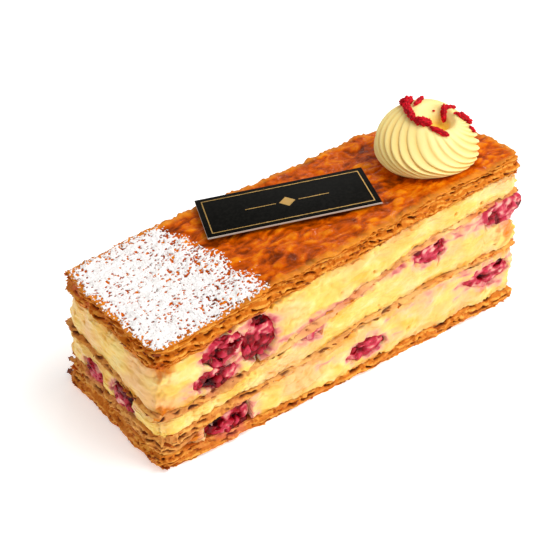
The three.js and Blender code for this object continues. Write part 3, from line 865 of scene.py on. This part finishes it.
class SLICE_OT_pastry_sheets(bpy.types.Operator):
    """Builds the four baked sheets with their leafy cut edges"""
    bl_idname = "slice.pastry_sheets"
    bl_label = "Pastry sheets"

    def execute(self, context):
        look = context.scene.slice_pastry
        material = puff_pastry(look)
        juice = juice_stain()
        for name, leaf in SHEETS.items():
            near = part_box(name)[0].x

            def relief(place, level, turn, leaf=leaf, near=near):
                damp = leaf["damp"] * smooth(-6 * MM, 6 * MM, place.x - look.damp_start)
                damp *= smooth(6 * MM, -6 * MM, place.x - look.damp_end)
                push, void, edge = self.leaves(place, turn, leaf)
                void *= smooth(0, 0.1, level) * smooth(0, 0.06, 1 - level) * (1 - damp)
                push -= (void * leaf["deep"] + leaf["pull"]) * MM
                hang = smooth(0, 6 * MM, place.x - near) * smooth(13 * MM, 7 * MM, place.x - near)
                lift = -leaf["droop"] * MM * hang * (1 - level)
                soak = (leaf["soak"] + damp) * (1 + 0.9 * swell(place, 11 * MM, 1.3)) * (1 - void)
                return push, lift, {
                    # Painted shade, darker deep in the gaps; the leaves' upper edges painted light as if lit
                    HOLLOW: max(void, 0.22 * (1 - edge)),
                    SOAK: min(max(soak, 0), 1),
                    STAIN: 0.55 * juice(place, 3 * MM) * (1 - 0.5 * void),
                    TOAST: browning(place),
                }

            bm = layer_mesh(LayerForm(name), look.step, look.leaf_step, relief, leaf["trim"] * MM)
            keep_piece(bm, "leaves_" + name, [material], "pastry", name, smooth_faces=False)
        return {"FINISHED"}

    @staticmethod
    def leaves(place, turn, leaf):
        """How far a place on the cut stands out, how deep it lies in a gap, and if it is a leaf's edge;
        turn is 1 at the slice's corners, where leaves are chipped, and 0 on its sides."""
        flat = Vector((place.x, place.y, 0))
        rise = place.z / (leaf["tall"] * MM) + 0.8 * swell(flat, 7 * MM, leaf["tall"])
        rise += 0.3 * swell(flat, 2.2 * MM, 2.0)
        order = math.floor(rise)
        up = rise - order
        broken = 1.2 * swell(flat, 3.6 * MM, 5.3 * order) + 0.6 * swell(flat, 0.9 * MM, 3.1 * order)
        apart = smooth(-0.08, 0.3, swell(flat, leaf["span"] * MM, 9.7 * order))
        gap = smooth(0, 0.15, up) * smooth(0.55, 0.36, up) * apart
        first, second, pick = cells(place, (1.2 * MM, 1.2 * MM, 0.7 * MM), 0.5)
        crumb = smooth(0.05, 0.3, second - first) * smooth(0.35, 0.9, pick)
        edge = smooth(0.45, 0.65, up) * (0.4 + 0.6 * smooth(-0.3, 0.3, broken))
        chip = turn * leaf["chip"] * (0.8 + 0.8 * swell(flat, 4 * MM, 7.1 * order))
        return (leaf["ragged"] * broken * (0.45 + 0.55 * edge) - chip) * MM, max(gap, 0.3 * crumb), edge


class SLICE_OT_loose_flakes(bpy.types.Operator):
    """Scatters curled loose flakes along the cut edges of the sheets"""
    bl_idname = "slice.loose_flakes"
    bl_label = "Loose flakes"

    def execute(self, context):
        look = context.scene.slice_pastry
        rng = random.Random(3)
        poses = []
        for name, leaf in SHEETS.items():
            form = LayerForm(name)
            for _ in range(leaf["flakes"]):
                guide, out = form.rim(rng.random())
                low, high = form.edges(guide, out)
                place = form.wall(guide, out, low, high - leaf["trim"] * MM, rng.random())
                pose = Matrix((out, UP.cross(out), UP)).transposed().to_4x4()
                pose.translation = place + out * rng.uniform(-1.0, -0.2) * MM
                turn = Matrix.Rotation(rng.uniform(-0.7, 0.7), 4, "Z")
                turn = turn @ Matrix.Rotation(rng.uniform(-0.4, 0.4), 4, "Y")
                size = look.flake * rng.uniform(0.45, 1.2)
                wide = size * rng.uniform(0.6, 1.7)
                poses.append(pose @ turn @ Matrix.Diagonal((size * 0.8, wide, size, 1)))
        mesh = joined_copies("loose_flakes", self.flake(), poses)
        keep_mesh(mesh, "loose_flakes", [loose_leaf(look)], "pastry", smooth_faces=False)
        return {"FINISHED"}

    @staticmethod
    def flake():
        """One curled leaf, a unit across."""
        bm = bmesh.new()
        bmesh.ops.create_grid(bm, x_segments=3, y_segments=2, size=0.5)
        for vert in bm.verts:
            jag = noise.noise_vector(vert.co * 3.7) * 0.22
            curl = 0.5 * vert.co.x * abs(vert.co.x) + 0.1 * math.sin(6 * vert.co.y)
            vert.co += Vector((jag.x, jag.y, curl))
        bmesh.ops.solidify(bm, geom=bm.faces, thickness=0.07)
        return bm


class SLICE_OT_glazed_skin(bpy.types.Operator):
    """Builds the blistered caramelised skin of the top"""
    bl_idname = "slice.glazed_skin"
    bl_label = "Glazed skin"

    def execute(self, context):
        look = context.scene.slice_glaze
        form = LayerForm("pastry_top")
        columns = round(2 * form.half.x / look.step)
        rows = round(2 * form.half.y / look.step)
        reach = form.half + Vector((GUIDE_INSET, GUIDE_INSET, 0))
        bm = bmesh.new()
        bmesh.ops.create_grid(bm, x_segments=columns, y_segments=rows, size=0.5)
        rise = bm.verts.layers.float.new(HOLLOW)
        rim = bm.verts.layers.float.new(SOAK)
        grid = np.array([self.place(form, vert.co) for vert in bm.verts])
        heights = grid[:, 2].reshape(rows + 1, columns + 1)
        for _ in range(6):
            wide = np.pad(heights, 1, mode="edge")
            heights = (wide[:-2, 1:-1] + wide[2:, 1:-1] + wide[1:-1, :-2] + wide[1:-1, 2:]
                       + 2 * wide[1:-1, 1:-1]) / 6
        grid[:, 2] = heights.reshape(-1)
        for vert, spot in zip(bm.verts, grid):
            inner = min(0.5 - abs(vert.co.x), (0.5 - abs(vert.co.y)) * reach.y / reach.x) * 2 * reach.x
            flat = Vector((spot[0], spot[1], 0))
            dome, crinkle = self.blisters(flat, look)
            edge = smooth(2.2 * MM, 0.2 * MM, inner)
            lift = look.blister * (dome - 0.35) * (1 - 0.6 * edge) + look.wrinkle * crinkle
            lift += edge * 0.5 * MM * swell(flat, 1.1 * MM, 5.0)
            vert.co = Vector(spot) + UP * lift + noise.noise_vector(flat / (1.3 * MM)) * edge * 0.4 * MM
            # Blister height: the glaze paints the tops lighter as lit and the creases darker as shade
            vert[rise] = min(max(dome + 0.35 * crinkle, 0), 1)
            vert[rim] = 0.7 * edge
        bmesh.ops.solidify(bm, geom=bm.faces, thickness=look.thick)
        keep_piece(bm, "glazed_skin", [caramel_glaze(look)], "glaze")
        return {"FINISHED"}

    @staticmethod
    def blisters(flat, look):
        """How high a place lies on a blister, from 0 to 1, and its fine wrinkles, from -1 to 1."""
        spans = (look.blister_span * 1.3, look.blister_span * 0.8, 1)
        first, second, pick = cells(flat, spans, 0.7)
        dome = math.sqrt(max(1 - (first / 0.9) ** 2, 0)) * smooth(0, 0.4, second - first)
        dome *= 0.35 + 0.65 * pick
        drawn = Vector((flat.x / 1.5, flat.y, 0))
        return dome, 1 - 3 * abs(swell(drawn, 2.6 * MM, 1.0)) + 0.6 * swell(flat, 1.1 * MM, 3.0)

    @staticmethod
    def place(form, flat):
        """The CAD top's point for a point of the unit grid; the grid's rim follows the CAD's rim."""
        guide = Vector((flat.x * 2 * form.half.x, flat.y * 2 * form.half.y, 0)) + form.centre
        low, high = form.faces(guide)
        spot = Vector((guide.x, guide.y, high))
        side = Vector((math.copysign(1, flat.x), 0, 0))
        ends = form.wall(guide, side, low, high, 0.85)
        side = Vector((0, math.copysign(1, flat.y), 0))
        flanks = form.wall(guide, side, low, high, 0.85)
        spot.x += (ends.x - math.copysign(form.half.x, flat.x) - form.centre.x) * (2 * abs(flat.x)) ** 6
        spot.y += (flanks.y - math.copysign(form.half.y, flat.y) - form.centre.y) * (2 * abs(flat.y)) ** 6
        corner = (4 * flat.x * flat.y) ** 10
        return spot - Vector((math.copysign(corner, flat.x), math.copysign(corner, flat.y), 0)) * 1.2 * MM


class SLICE_OT_fillings(bpy.types.Operator):
    """Builds the three cream fillings with their lumps, pits and berry stains"""
    bl_idname = "slice.fillings"
    bl_label = "Fillings"

    def execute(self, context):
        look = context.scene.slice_cream
        material = custard_cream(look)
        juice = juice_stain()

        def relief(place, level, turn):
            flat = Vector((place.x, place.y, 0))
            rim = 2 * level - 1
            drag = Vector((place.x / 3.5, place.y / 3.5, place.z))
            near = juice(place, 3 * MM)
            pit = self.pit(place)
            crumb = self.crumb(place, drag, rim)
            fluffy, torn = self.curds(place)
            # Out over the sheets, uneven, torn, with pits and crumbs
            push = look.bulge + look.lump * (swell(place, 6 * MM) + 0.7 * swell(drag, 1.3 * MM, 1.0))
            push += look.torn * fluffy * torn - 0.9 * MM * pit + 0.2 * MM * swell(drag, 0.45 * MM, 2.5)
            push += 0.4 * MM * crumb
            # Back at the corners, round the berries and where it meets the sheets
            push -= turn * look.chip * (0.8 + 0.7 * swell(place, 3 * MM, 6.0) + 0.5 * swell(place, 1.2 * MM))
            push -= near * look.bulge * (0.5 + 1.3 * swell(place, 2.6 * MM, 5.0))
            push -= 0.45 * look.bulge * smooth(0.68, 1, abs(rim))
            # Over the sheets' edges in ragged teeth
            lift = rim * look.overlap * (0.3 + swell(flat, 3.5 * MM, 7 * level))
            lift += rim ** 3 * look.tooth * swell(flat, 1.3 * MM, 3 + 2 * level)
            brown = smooth(-0.1, 0.5, swell(place, 5 * MM))
            return push, lift, {
                # Painted shade: the pits and the creases between curds take the pit colour
                HOLLOW: max(pit, 0.8 * fluffy * smooth(-0.1, -0.5, torn)),
                STAIN: near * (0.75 + 0.8 * swell(drag, 0.9 * MM, 8.0)),
                # Towards the sheets, in patches, the cream takes the pit colour
                SOAK: 0.9 * smooth(0.55, 1, abs(rim)) * brown,
                TOAST: max(browning(place), 0.8 * crumb),
            }

        for name in FILLINGS:
            bm = layer_mesh(LayerForm(name), look.step, look.step, relief)
            self.soften_pockets(bm, 3 * look.step)
            keep_piece(bm, "custard_" + name, [material], "cream", name)
        return {"FINISHED"}

    @staticmethod
    def pit(place):
        """1 inside one of the few small pits, 0 outside."""
        first, _, pick = cells(place, [3.6 * MM] * 3, 0.4, 2.0)
        return smooth(0.26, 0.1, first) * smooth(0.78, 0.9, pick)

    @staticmethod
    def crumb(place, drag, rim):
        """1 on a pastry crumb dragged into the cream, 0 beside it; most lie near the sheets."""
        first, _, pick = cells(place, [1.7 * MM] * 3, 0.5, 5.0)
        crumb = smooth(0.36, 0.14, first) * smooth(0.5, 0.65, pick) * smooth(-0.3, 0.3, swell(drag, 3 * MM))
        return crumb * (0.3 + 0.7 * smooth(0.3, 0.95, abs(rim)))

    @staticmethod
    def curds(place):
        """How torn the cut is here, most along the near part of the sides, and the curds' height."""
        fluffy = 0.25 + 0.75 * smooth(0, -40 * MM, place.x)
        fluffy *= smooth(-0.5, 0.35, swell(place, 9 * MM, 3.0))
        fluffy *= 1 - 0.7 * smooth(-58 * MM, -63 * MM, place.x)
        curd = Vector((place.x / 1.6, place.y / 1.6, place.z))
        torn = 1.5 * abs(swell(curd, 2.8 * MM, 2.0)) + 0.6 * abs(swell(curd, 1.1 * MM, 4.0)) - 0.5
        return fluffy, torn

    @staticmethod
    def soften_pockets(bm, step):
        """Rounds the torn lips of the pockets where the berries sit; the faces' long edges stay."""
        spans = {edge: edge.calc_length() for edge in bm.edges}
        kept = {vert for edge, span in spans.items() if span > LONG_EDGE for vert in edge.verts}
        torn = {vert for edge, span in spans.items() if span > step for vert in edge.verts} - kept
        for _ in range(POCKET_ROUNDS):
            bmesh.ops.smooth_vert(bm, verts=list(torn), factor=0.5, use_axis_x=True, use_axis_y=True,
                                  use_axis_z=True)


class SLICE_OT_berries(bpy.types.Operator):
    """Builds the crushed berries: lumps of drupelets, wet hollows and smeared pulp"""
    bl_idname = "slice.berries"
    bl_label = "Crushed berries"

    def execute(self, context):
        look = context.scene.slice_berry
        material = crushed_berry(look)
        for number, name in enumerate(BERRIES):
            low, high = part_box(name)
            out = Vector((0, 1, 0)) if abs(low.y + high.y) > 30 * MM else Vector((1, 0, 0))
            bm = cad_copy(name)
            bmesh.ops.subdivide_edges(bm, edges=bm.edges, cuts=look.cuts, use_grid_fill=True)
            bmesh.ops.smooth_vert(bm, verts=bm.verts, factor=0.5, use_axis_x=True, use_axis_y=True,
                                  use_axis_z=True)
            bm.normal_update()
            flesh = bm.verts.layers.float.new(SOAK)
            centre = (low + high) / 2
            out *= math.copysign(1, centre.dot(out))
            level = look.flush * abs((high - low).dot(out))
            for vert in bm.verts:
                rim = smooth(0.8, 0.35, abs(vert.normal.dot(out)))
                mash = MASHED.get(name, 0) + 0.08 * rim
                push, vert[flesh] = self.crushed(vert.co, 2.3 * number, mash, look)
                over = max((vert.co - centre).dot(out) - level, 0)
                spread = look.spread * rim * (1 + swell(vert.co, 2.4 * MM, number))
                vert.co += vert.normal * (push * (1 - 0.6 * rim) + spread) - out * 0.4 * over
            keep_piece(bm, "crushed_" + name, [material], "berry", name)
        return {"FINISHED"}

    @staticmethod
    def crushed(place, shift, mash, look):
        """How far a place stands out and how pale its pulp is; mash adds to the smeared share."""
        drag = Vector((place.x / 1.9, place.y / 1.9, place.z))
        first, second, pick = cells(place, [look.drupelet] * 3, 0.35, shift)
        lump = max(1 - (first / 0.75) ** 2, 0) * smooth(0, 0.25, second - first)
        cavity = smooth(0.0, 0.25, swell(drag, 2.8 * MM, shift))
        smear = smooth(0.12, 0.42, mash + swell(drag, 2.6 * MM, 1.6 * shift + 5))
        push = look.lump * (lump - 0.45) * (1 - 0.6 * smear) - look.cavity * cavity * (1 - smear)
        push += 0.15 * MM * swell(place, 0.9 * MM, shift)
        # Darker in the hollows and lighter on the drupelet tops: partly the juice, partly painted shade and
        # light
        wet = 0.12 + lump * (0.15 + 0.4 * pick) - 0.25 * cavity
        pale = 0.62 + 0.5 * swell(drag, 1.1 * MM, shift + 3)
        return push, max(wet, 0) * (1 - smear) + pale * smear


class SLICE_OT_rosette(bpy.types.Operator):
    """Builds the piped rosette and its dried berry bits"""
    bl_idname = "slice.rosette"
    bl_label = "Rosette"

    def execute(self, context):
        look = context.scene.slice_rosette
        form = LayerForm("pastry_top")
        bm = bmesh.new()
        line = [bm.verts.new((reach, 0, rise)) for reach, rise in self.profile(look)]
        for first, second in zip(line, line[1:]):
            bm.edges.new((first, second))
        bmesh.ops.spin(bm, geom=bm.verts[:] + bm.edges[:], cent=(0, 0, 0), axis=UP, angle=2 * math.pi,
                       steps=look.ridges * 12, use_merge=True)
        bmesh.ops.remove_doubles(bm, verts=bm.verts, dist=0.01 * MM)
        valley = bm.verts.layers.float.new(HOLLOW)
        pit = bm.verts.layers.float.new(SOAK)
        for vert in bm.verts:
            reach = math.hypot(vert.co.x, vert.co.y) / look.radius
            # Painted shade: the cream down in the pit is painted golden
            vert[pit] = smooth(0.26, 0.1, reach) if vert.co.z > 0 else 0
            vert.co, vert[valley] = self.piped(vert.co, look, form)
        keep_piece(bm, "piped_rosette", [piped_cream(look)], "piped_cream", "rosette")
        self.bits(look)
        return {"FINISHED"}

    @staticmethod
    def profile(look):
        """Reach and rise from under the rosette's foot over its crest into the pit, on a rounded curve."""
        marks = [Vector((a * look.radius, b * look.height)) for a, b in OUTLINE]
        line = [Vector((0, 0)), Vector((look.radius * 0.5, 0))]
        ends = [marks[0] * 2 - marks[1], *marks, marks[-1] * 2 - marks[-2]]
        for before, start, end, after in zip(ends, ends[1:], ends[2:], ends[3:]):
            for step in range(10):
                t = step / 10
                line.append(0.5 * (2 * start + (end - before) * t
                                   + (2 * before - 5 * start + 4 * end - after) * t * t
                                   + (3 * start - before - 3 * end + after) * t ** 3))
        return [*line, marks[-1]]

    @staticmethod
    def piped(spot, look, form):
        """Moves a turned point onto the ridged, leaning rosette; also how deep in a valley it lies, painted
        as shade.
        """
        reach = math.hypot(spot.x, spot.y)
        around = math.atan2(spot.y, spot.x)
        inward = 1 - reach / look.radius
        on_wall = smooth(4.5 * MM, 13 * MM, reach) if spot.z > 0 else 0
        start = Vector((math.cos(around), math.sin(around), 0))
        part = (look.ridges * around / math.tau + 0.3 * swell(start, 0.5, 1.5)) % 1
        crest = math.sin(math.pi / 2 * min(part / 0.46, (1 - part) / 0.54))
        on_wall *= 0.35 + 0.65 * smooth(0, 0.3, spot.z / look.height)
        ridge = look.ridge * on_wall * (1.7 * crest - 1.0) * (1 + 0.8 * swell(spot, 5 * MM, 2.0))
        uneven = 1 - look.twist_uneven * start.dot(SEEN_RIGHT + SEEN_AWAY) / math.sqrt(2)
        turned = around - (look.twist_wall * spot.z / look.height + look.twist_top * inward ** 2) * uneven
        plan = Vector((math.cos(turned), math.sin(turned), 0)) * (reach + ridge)
        front = max(-plan.dot(SEEN_AWAY) / look.radius, 0) * smooth(0.15, 0.35, 1 - inward)
        tilt = SEEN_RIGHT * look.lean_right + SEEN_AWAY * look.lean_away
        lean = 1 + plan.dot(tilt) / look.radius
        plan += (SEEN_RIGHT * look.pit_right + SEEN_AWAY * look.pit_away) * inward
        plan += Vector((look.x, look.y, 0))
        foot = form.faces(plan)[1]
        height = spot.z * lean + look.lip * front * smooth(0.8, 0.4, 1 - inward)
        return Vector((plan.x, plan.y, foot + height)), 0.62 * (1 - crest) * on_wall

    @staticmethod
    def bits(look):
        """Dried berry bits: rough chunks that lie on the rosette between their two ends."""
        target = piece_tree("piped_rosette")
        axis = Vector((look.x, look.y, 1))
        bm = bmesh.new()
        tone = bm.verts.layers.float.new(PICK)
        for number, (right, away, to_right, to_away, wide) in enumerate(BITS):
            ends = []
            for seen_right, seen_away in ((right, away), (to_right, to_away)):
                above = axis + (SEEN_RIGHT * seen_right + SEEN_AWAY * seen_away) * MM
                hit, out, _, _ = target.ray_cast(above, -UP)
                if hit is None:
                    raise RuntimeError("a dried bit misses the rosette")
                ends.append(hit + out * 0.38 * wide * MM)
            way = (ends[1] - ends[0]).normalized()
            chunk = bmesh.ops.create_icosphere(bm, subdivisions=4, radius=1)
            for vert in chunk["verts"]:
                out = vert.co.copy()
                core = ends[0].lerp(ends[1], 0.5 + 0.5 * out.dot(way))
                spot = core + out * 0.5 * wide * MM
                first, second, pick = cells(spot, [0.8 * MM] * 3, 0.5, number)
                rough = 0.62 + 0.5 * smooth(0, 0.35, second - first) * (0.4 + 0.6 * pick)
                rough += 0.35 * swell(spot, 1.3 * MM, number)
                vert.co = core + out * 0.56 * wide * rough * MM
                # Grains differ at random; the grooves between them are painted dark as shade
                vert[tone] = pick * smooth(0, 0.3, second - first)
        keep_piece(bm, "dried_bits", [dried_berry(look)], "berry")


class SLICE_OT_card(bpy.types.Operator):
    """Builds the black card with its cut edge and gold frame"""
    bl_idname = "slice.card"
    bl_label = "Card"

    def execute(self, context):
        look = context.scene.slice_card
        bm = cad_copy("label_card")
        bmesh.ops.dissolve_limit(bm, angle_limit=0.02, verts=bm.verts, edges=bm.edges)
        top = max(bm.faces, key=lambda face: (round(face.calc_area() / MM ** 2), face.normal.z))
        out = top.normal.copy()
        centre = top.calc_center_median()
        side = max(top.edges, key=lambda edge: edge.calc_length())
        along = (side.verts[1].co - side.verts[0].co).normalized()
        across = out.cross(along)
        half_long = side.calc_length() / 2
        half_wide = top.calc_area() / side.calc_length() / 2
        bmesh.ops.bevel(bm, geom=bm.edges[:], offset=0.06 * MM, affect="EDGES", segments=2, profile=0.5,
                        material=-1)
        for face in bm.faces:
            face.material_index = 0 if abs(face.normal.dot(out)) > 0.9 else 1
        keep_piece(bm, "plain_card", [black_board(look), board_edge(look)], "card", "label_card")
        pose = Matrix((along, across, out)).transposed().to_4x4()
        pose.translation = centre + out * look.foil * 0.4
        self.ornament(look, pose, half_long - look.inset, half_wide - look.inset)
        return {"FINISHED"}

    @staticmethod
    def ornament(look, pose, half_long, half_wide):
        """A thin gold frame, two short rules and a lozenge between them."""
        bm = bmesh.new()
        bars = []
        for side in (-1, 1):
            bars.append((0, side * half_wide, 2 * half_long + look.line, look.line))
            bars.append((side * half_long, 0, look.line, 2 * half_wide))
            bars.append((side * (look.rule / 2 + 1.4 * look.lozenge), 0, look.rule, look.line))
        for x, y, long, wide in bars:
            size = Matrix.Diagonal((long, wide, look.foil, 1))
            bmesh.ops.create_cube(bm, size=1, matrix=pose @ Matrix.Translation((x, y, 0)) @ size)
        bmesh.ops.create_cone(bm, cap_ends=True, segments=4, radius1=look.lozenge, radius2=look.lozenge,
                              depth=look.foil, matrix=pose)
        keep_piece(bm, "card_gold_frame", [gold_foil(look)], "card", smooth_faces=False)


class SLICE_OT_sugar(bpy.types.Operator):
    """Dusts the near third with icing sugar: caked powder and loose grains"""
    bl_idname = "slice.sugar"
    bl_label = "Icing sugar"

    def execute(self, context):
        look = context.scene.slice_sugar
        target = piece_tree("glazed_skin")
        low, high = (Vector(corner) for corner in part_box("pastry_top"))
        material = icing_sugar(look)
        columns = round((look.reach + STRAY) / look.step)
        rows = round((high.y - low.y) / look.step)
        bm = bmesh.new()
        bmesh.ops.create_grid(bm, x_segments=columns, y_segments=rows, size=0.5)
        bare = []
        for vert in bm.verts:
            spot = Vector((low.x + (vert.co.x + 0.5) * columns * look.step,
                           (low.y + high.y) / 2 + vert.co.y * rows * look.step, 1))
            hit = target.ray_cast(spot, -UP)[0]
            flecks = swell(spot, 1.0 * MM) + 0.9 * swell(spot, 0.55 * MM, 4.0)
            caked = self.cover(spot, low, high, look) + 0.42 * flecks
            if hit is None or caked < 0.5:
                bare.append(vert)
            if hit is not None:
                vert.co = hit + UP * (look.thick * smooth(0.42, 0.75, caked) - 0.04 * MM)
        bmesh.ops.delete(bm, geom=bare, context="VERTS")
        bmesh.ops.delete(bm, geom=[vert for vert in bm.verts if not vert.link_faces], context="VERTS")
        bmesh.ops.solidify(bm, geom=bm.faces, thickness=0.14 * MM)
        keep_piece(bm, "sugar_powder", [material], "glaze")
        self.loose(look, target, low, high, material)
        return {"FINISHED"}

    @staticmethod
    def cover(spot, low, high, look):
        """How thickly a place is dusted: full in the middle, thin at the rim and at the far end."""
        end = look.reach + look.slant * (spot.y - low.y) + 2.5 * MM * swell(spot, 7 * MM, 2.0)
        inner = min(spot.x - low.x, spot.y - low.y, high.y - spot.y)
        patch = 0.12 * swell(spot, 5 * MM, 6.0)
        rim = smooth(0, 5.5 * MM, inner + 1.5 * MM * swell(spot, 4 * MM, 7.0))
        stop = smooth(3.5 * MM, -3.5 * MM, spot.x - low.x - end)
        spent = 0.1 * smooth(18 * MM, 34 * MM, spot.x - low.x)
        return (0.41 + 0.35 * rim - spent + patch) * stop

    def loose(self, look, target, low, high, material):
        """Single grains on the powder and a little beyond it."""
        rng = random.Random(11)
        poses = []
        while len(poses) < look.grains:
            spot = Vector((low.x + rng.random() * (look.reach + STRAY),
                           rng.uniform(low.y, high.y), 1))
            hit = target.ray_cast(spot, -UP)[0]
            if hit is None or rng.random() > 1.6 * self.cover(spot, low, high, look) - 0.4:
                continue
            size = look.grain * rng.uniform(0.6, 1.4)
            pose = Matrix.Translation(hit + UP * rng.uniform(0.05, 0.2) * MM)
            pose = pose @ Matrix.Rotation(rng.uniform(0, math.tau), 4, "Z")
            poses.append(pose @ Matrix.Diagonal((size * 1.3, size, size * 0.8, 1)))
        grain = bmesh.new()
        bmesh.ops.create_icosphere(grain, subdivisions=1, radius=1)
        keep_mesh(joined_copies("sugar_grains", grain, poses), "sugar_grains", [material], "glaze")


class SLICE_OT_stage(bpy.types.Operator):
    """Sets the floor, the soft studio light and the camera"""
    bl_idname = "slice.stage"
    bl_label = "Stage"

    def execute(self, context):
        look = context.scene.slice_stage
        self.floor(look)
        self.soft_light("key_softbox", look.key, *MAIN_LIGHT)
        self.soft_light("front_softbox", look.key * FRONT_SHARE, *FRONT_LIGHT)
        self.soft_light("back_spark", look.spark, *SPARK_LIGHT)
        world = bpy.data.worlds.new("studio_air")
        world.use_nodes = True
        air = world.node_tree.nodes["Background"]
        air.inputs["Color"].default_value = look.tint
        air.inputs["Strength"].default_value = look.air
        context.scene.world = world
        context.scene.view_settings.view_transform = "Standard"
        camera = bpy.data.objects.new("photo_camera", bpy.data.cameras.new("photo_camera"))
        context.scene.collection.objects.link(camera)
        back = Vector((math.sin(look.azimuth) * math.cos(look.elevation),
                       -math.cos(look.azimuth) * math.cos(look.elevation), math.sin(look.elevation)))
        camera.location = Vector(look.target) + back * look.distance
        camera.rotation_euler = (-back).to_track_quat("-Z", "Y").to_euler()
        camera.data.lens = look.lens
        camera.data.sensor_width = 36
        camera.data.clip_start = 0.01
        context.scene.camera = camera
        return {"FINISHED"}

    @staticmethod
    def floor(look):
        """A large sheet of paper under the slice."""
        bm = bmesh.new()
        bmesh.ops.create_grid(bm, x_segments=4, y_segments=4, size=2)
        mesh = bpy.data.meshes.new("paper_floor")
        bm.to_mesh(mesh)
        bm.free()
        mesh.materials.append(paper_floor(look))
        floor = bpy.data.objects.new("paper_floor", mesh)
        bpy.context.scene.collection.objects.link(floor)

    @staticmethod
    def soft_light(name, power, place, size):
        """A square soft light that faces the slice."""
        light = bpy.data.lights.new(name, "AREA")
        light.energy = power
        light.size = size
        lamp = bpy.data.objects.new(name, light)
        lamp.location = place
        lamp.rotation_euler = (-Vector(place)).to_track_quat("-Z", "Y").to_euler()
        bpy.context.scene.collection.objects.link(lamp)


LOOKS = {
    "slice_pastry": PastryLook,
    "slice_glaze": GlazeLook,
    "slice_cream": CreamLook,
    "slice_berry": BerryLook,
    "slice_rosette": RosetteLook,
    "slice_card": CardLook,
    "slice_sugar": SugarLook,
    "slice_stage": StageLook,
}
STEPS = (
    SLICE_OT_pastry_sheets,
    SLICE_OT_loose_flakes,
    SLICE_OT_glazed_skin,
    SLICE_OT_fillings,
    SLICE_OT_berries,
    SLICE_OT_rosette,
    SLICE_OT_card,
    SLICE_OT_sugar,
    SLICE_OT_stage,
)


class SLICE_PT_sidebar(bpy.types.Panel):
    """Lists the slice's steps and their settings"""
    bl_label = "Mille feuille slice"
    bl_idname = "SLICE_PT_sidebar"
    bl_space_type = "VIEW_3D"
    bl_region_type = "UI"
    bl_category = "Slice"

    def draw(self, context):
        for step in STEPS:
            self.layout.operator(step.bl_idname)
        for name, kind in LOOKS.items():
            box = self.layout.box()
            box.label(text=kind.__doc__)
            for prop in kind.__annotations__:
                box.prop(getattr(context.scene, name), prop)


def register():
    for name, kind in LOOKS.items():
        bpy.utils.register_class(kind)
        setattr(bpy.types.Scene, name, bpy.props.PointerProperty(type=kind))
    for kind in (*STEPS, SLICE_PT_sidebar):
        bpy.utils.register_class(kind)


def unregister():
    for kind in (SLICE_PT_sidebar, *reversed(STEPS)):
        bpy.utils.unregister_class(kind)
    for name, kind in LOOKS.items():
        delattr(bpy.types.Scene, name)
        bpy.utils.unregister_class(kind)


def main():
    register()
    noise.seed_set(NOISE_SEED)
    for step in STEPS:
        group, name = step.bl_idname.split(".")
        getattr(getattr(bpy.ops, group), name)()


if __name__ == "__main__":
    main()
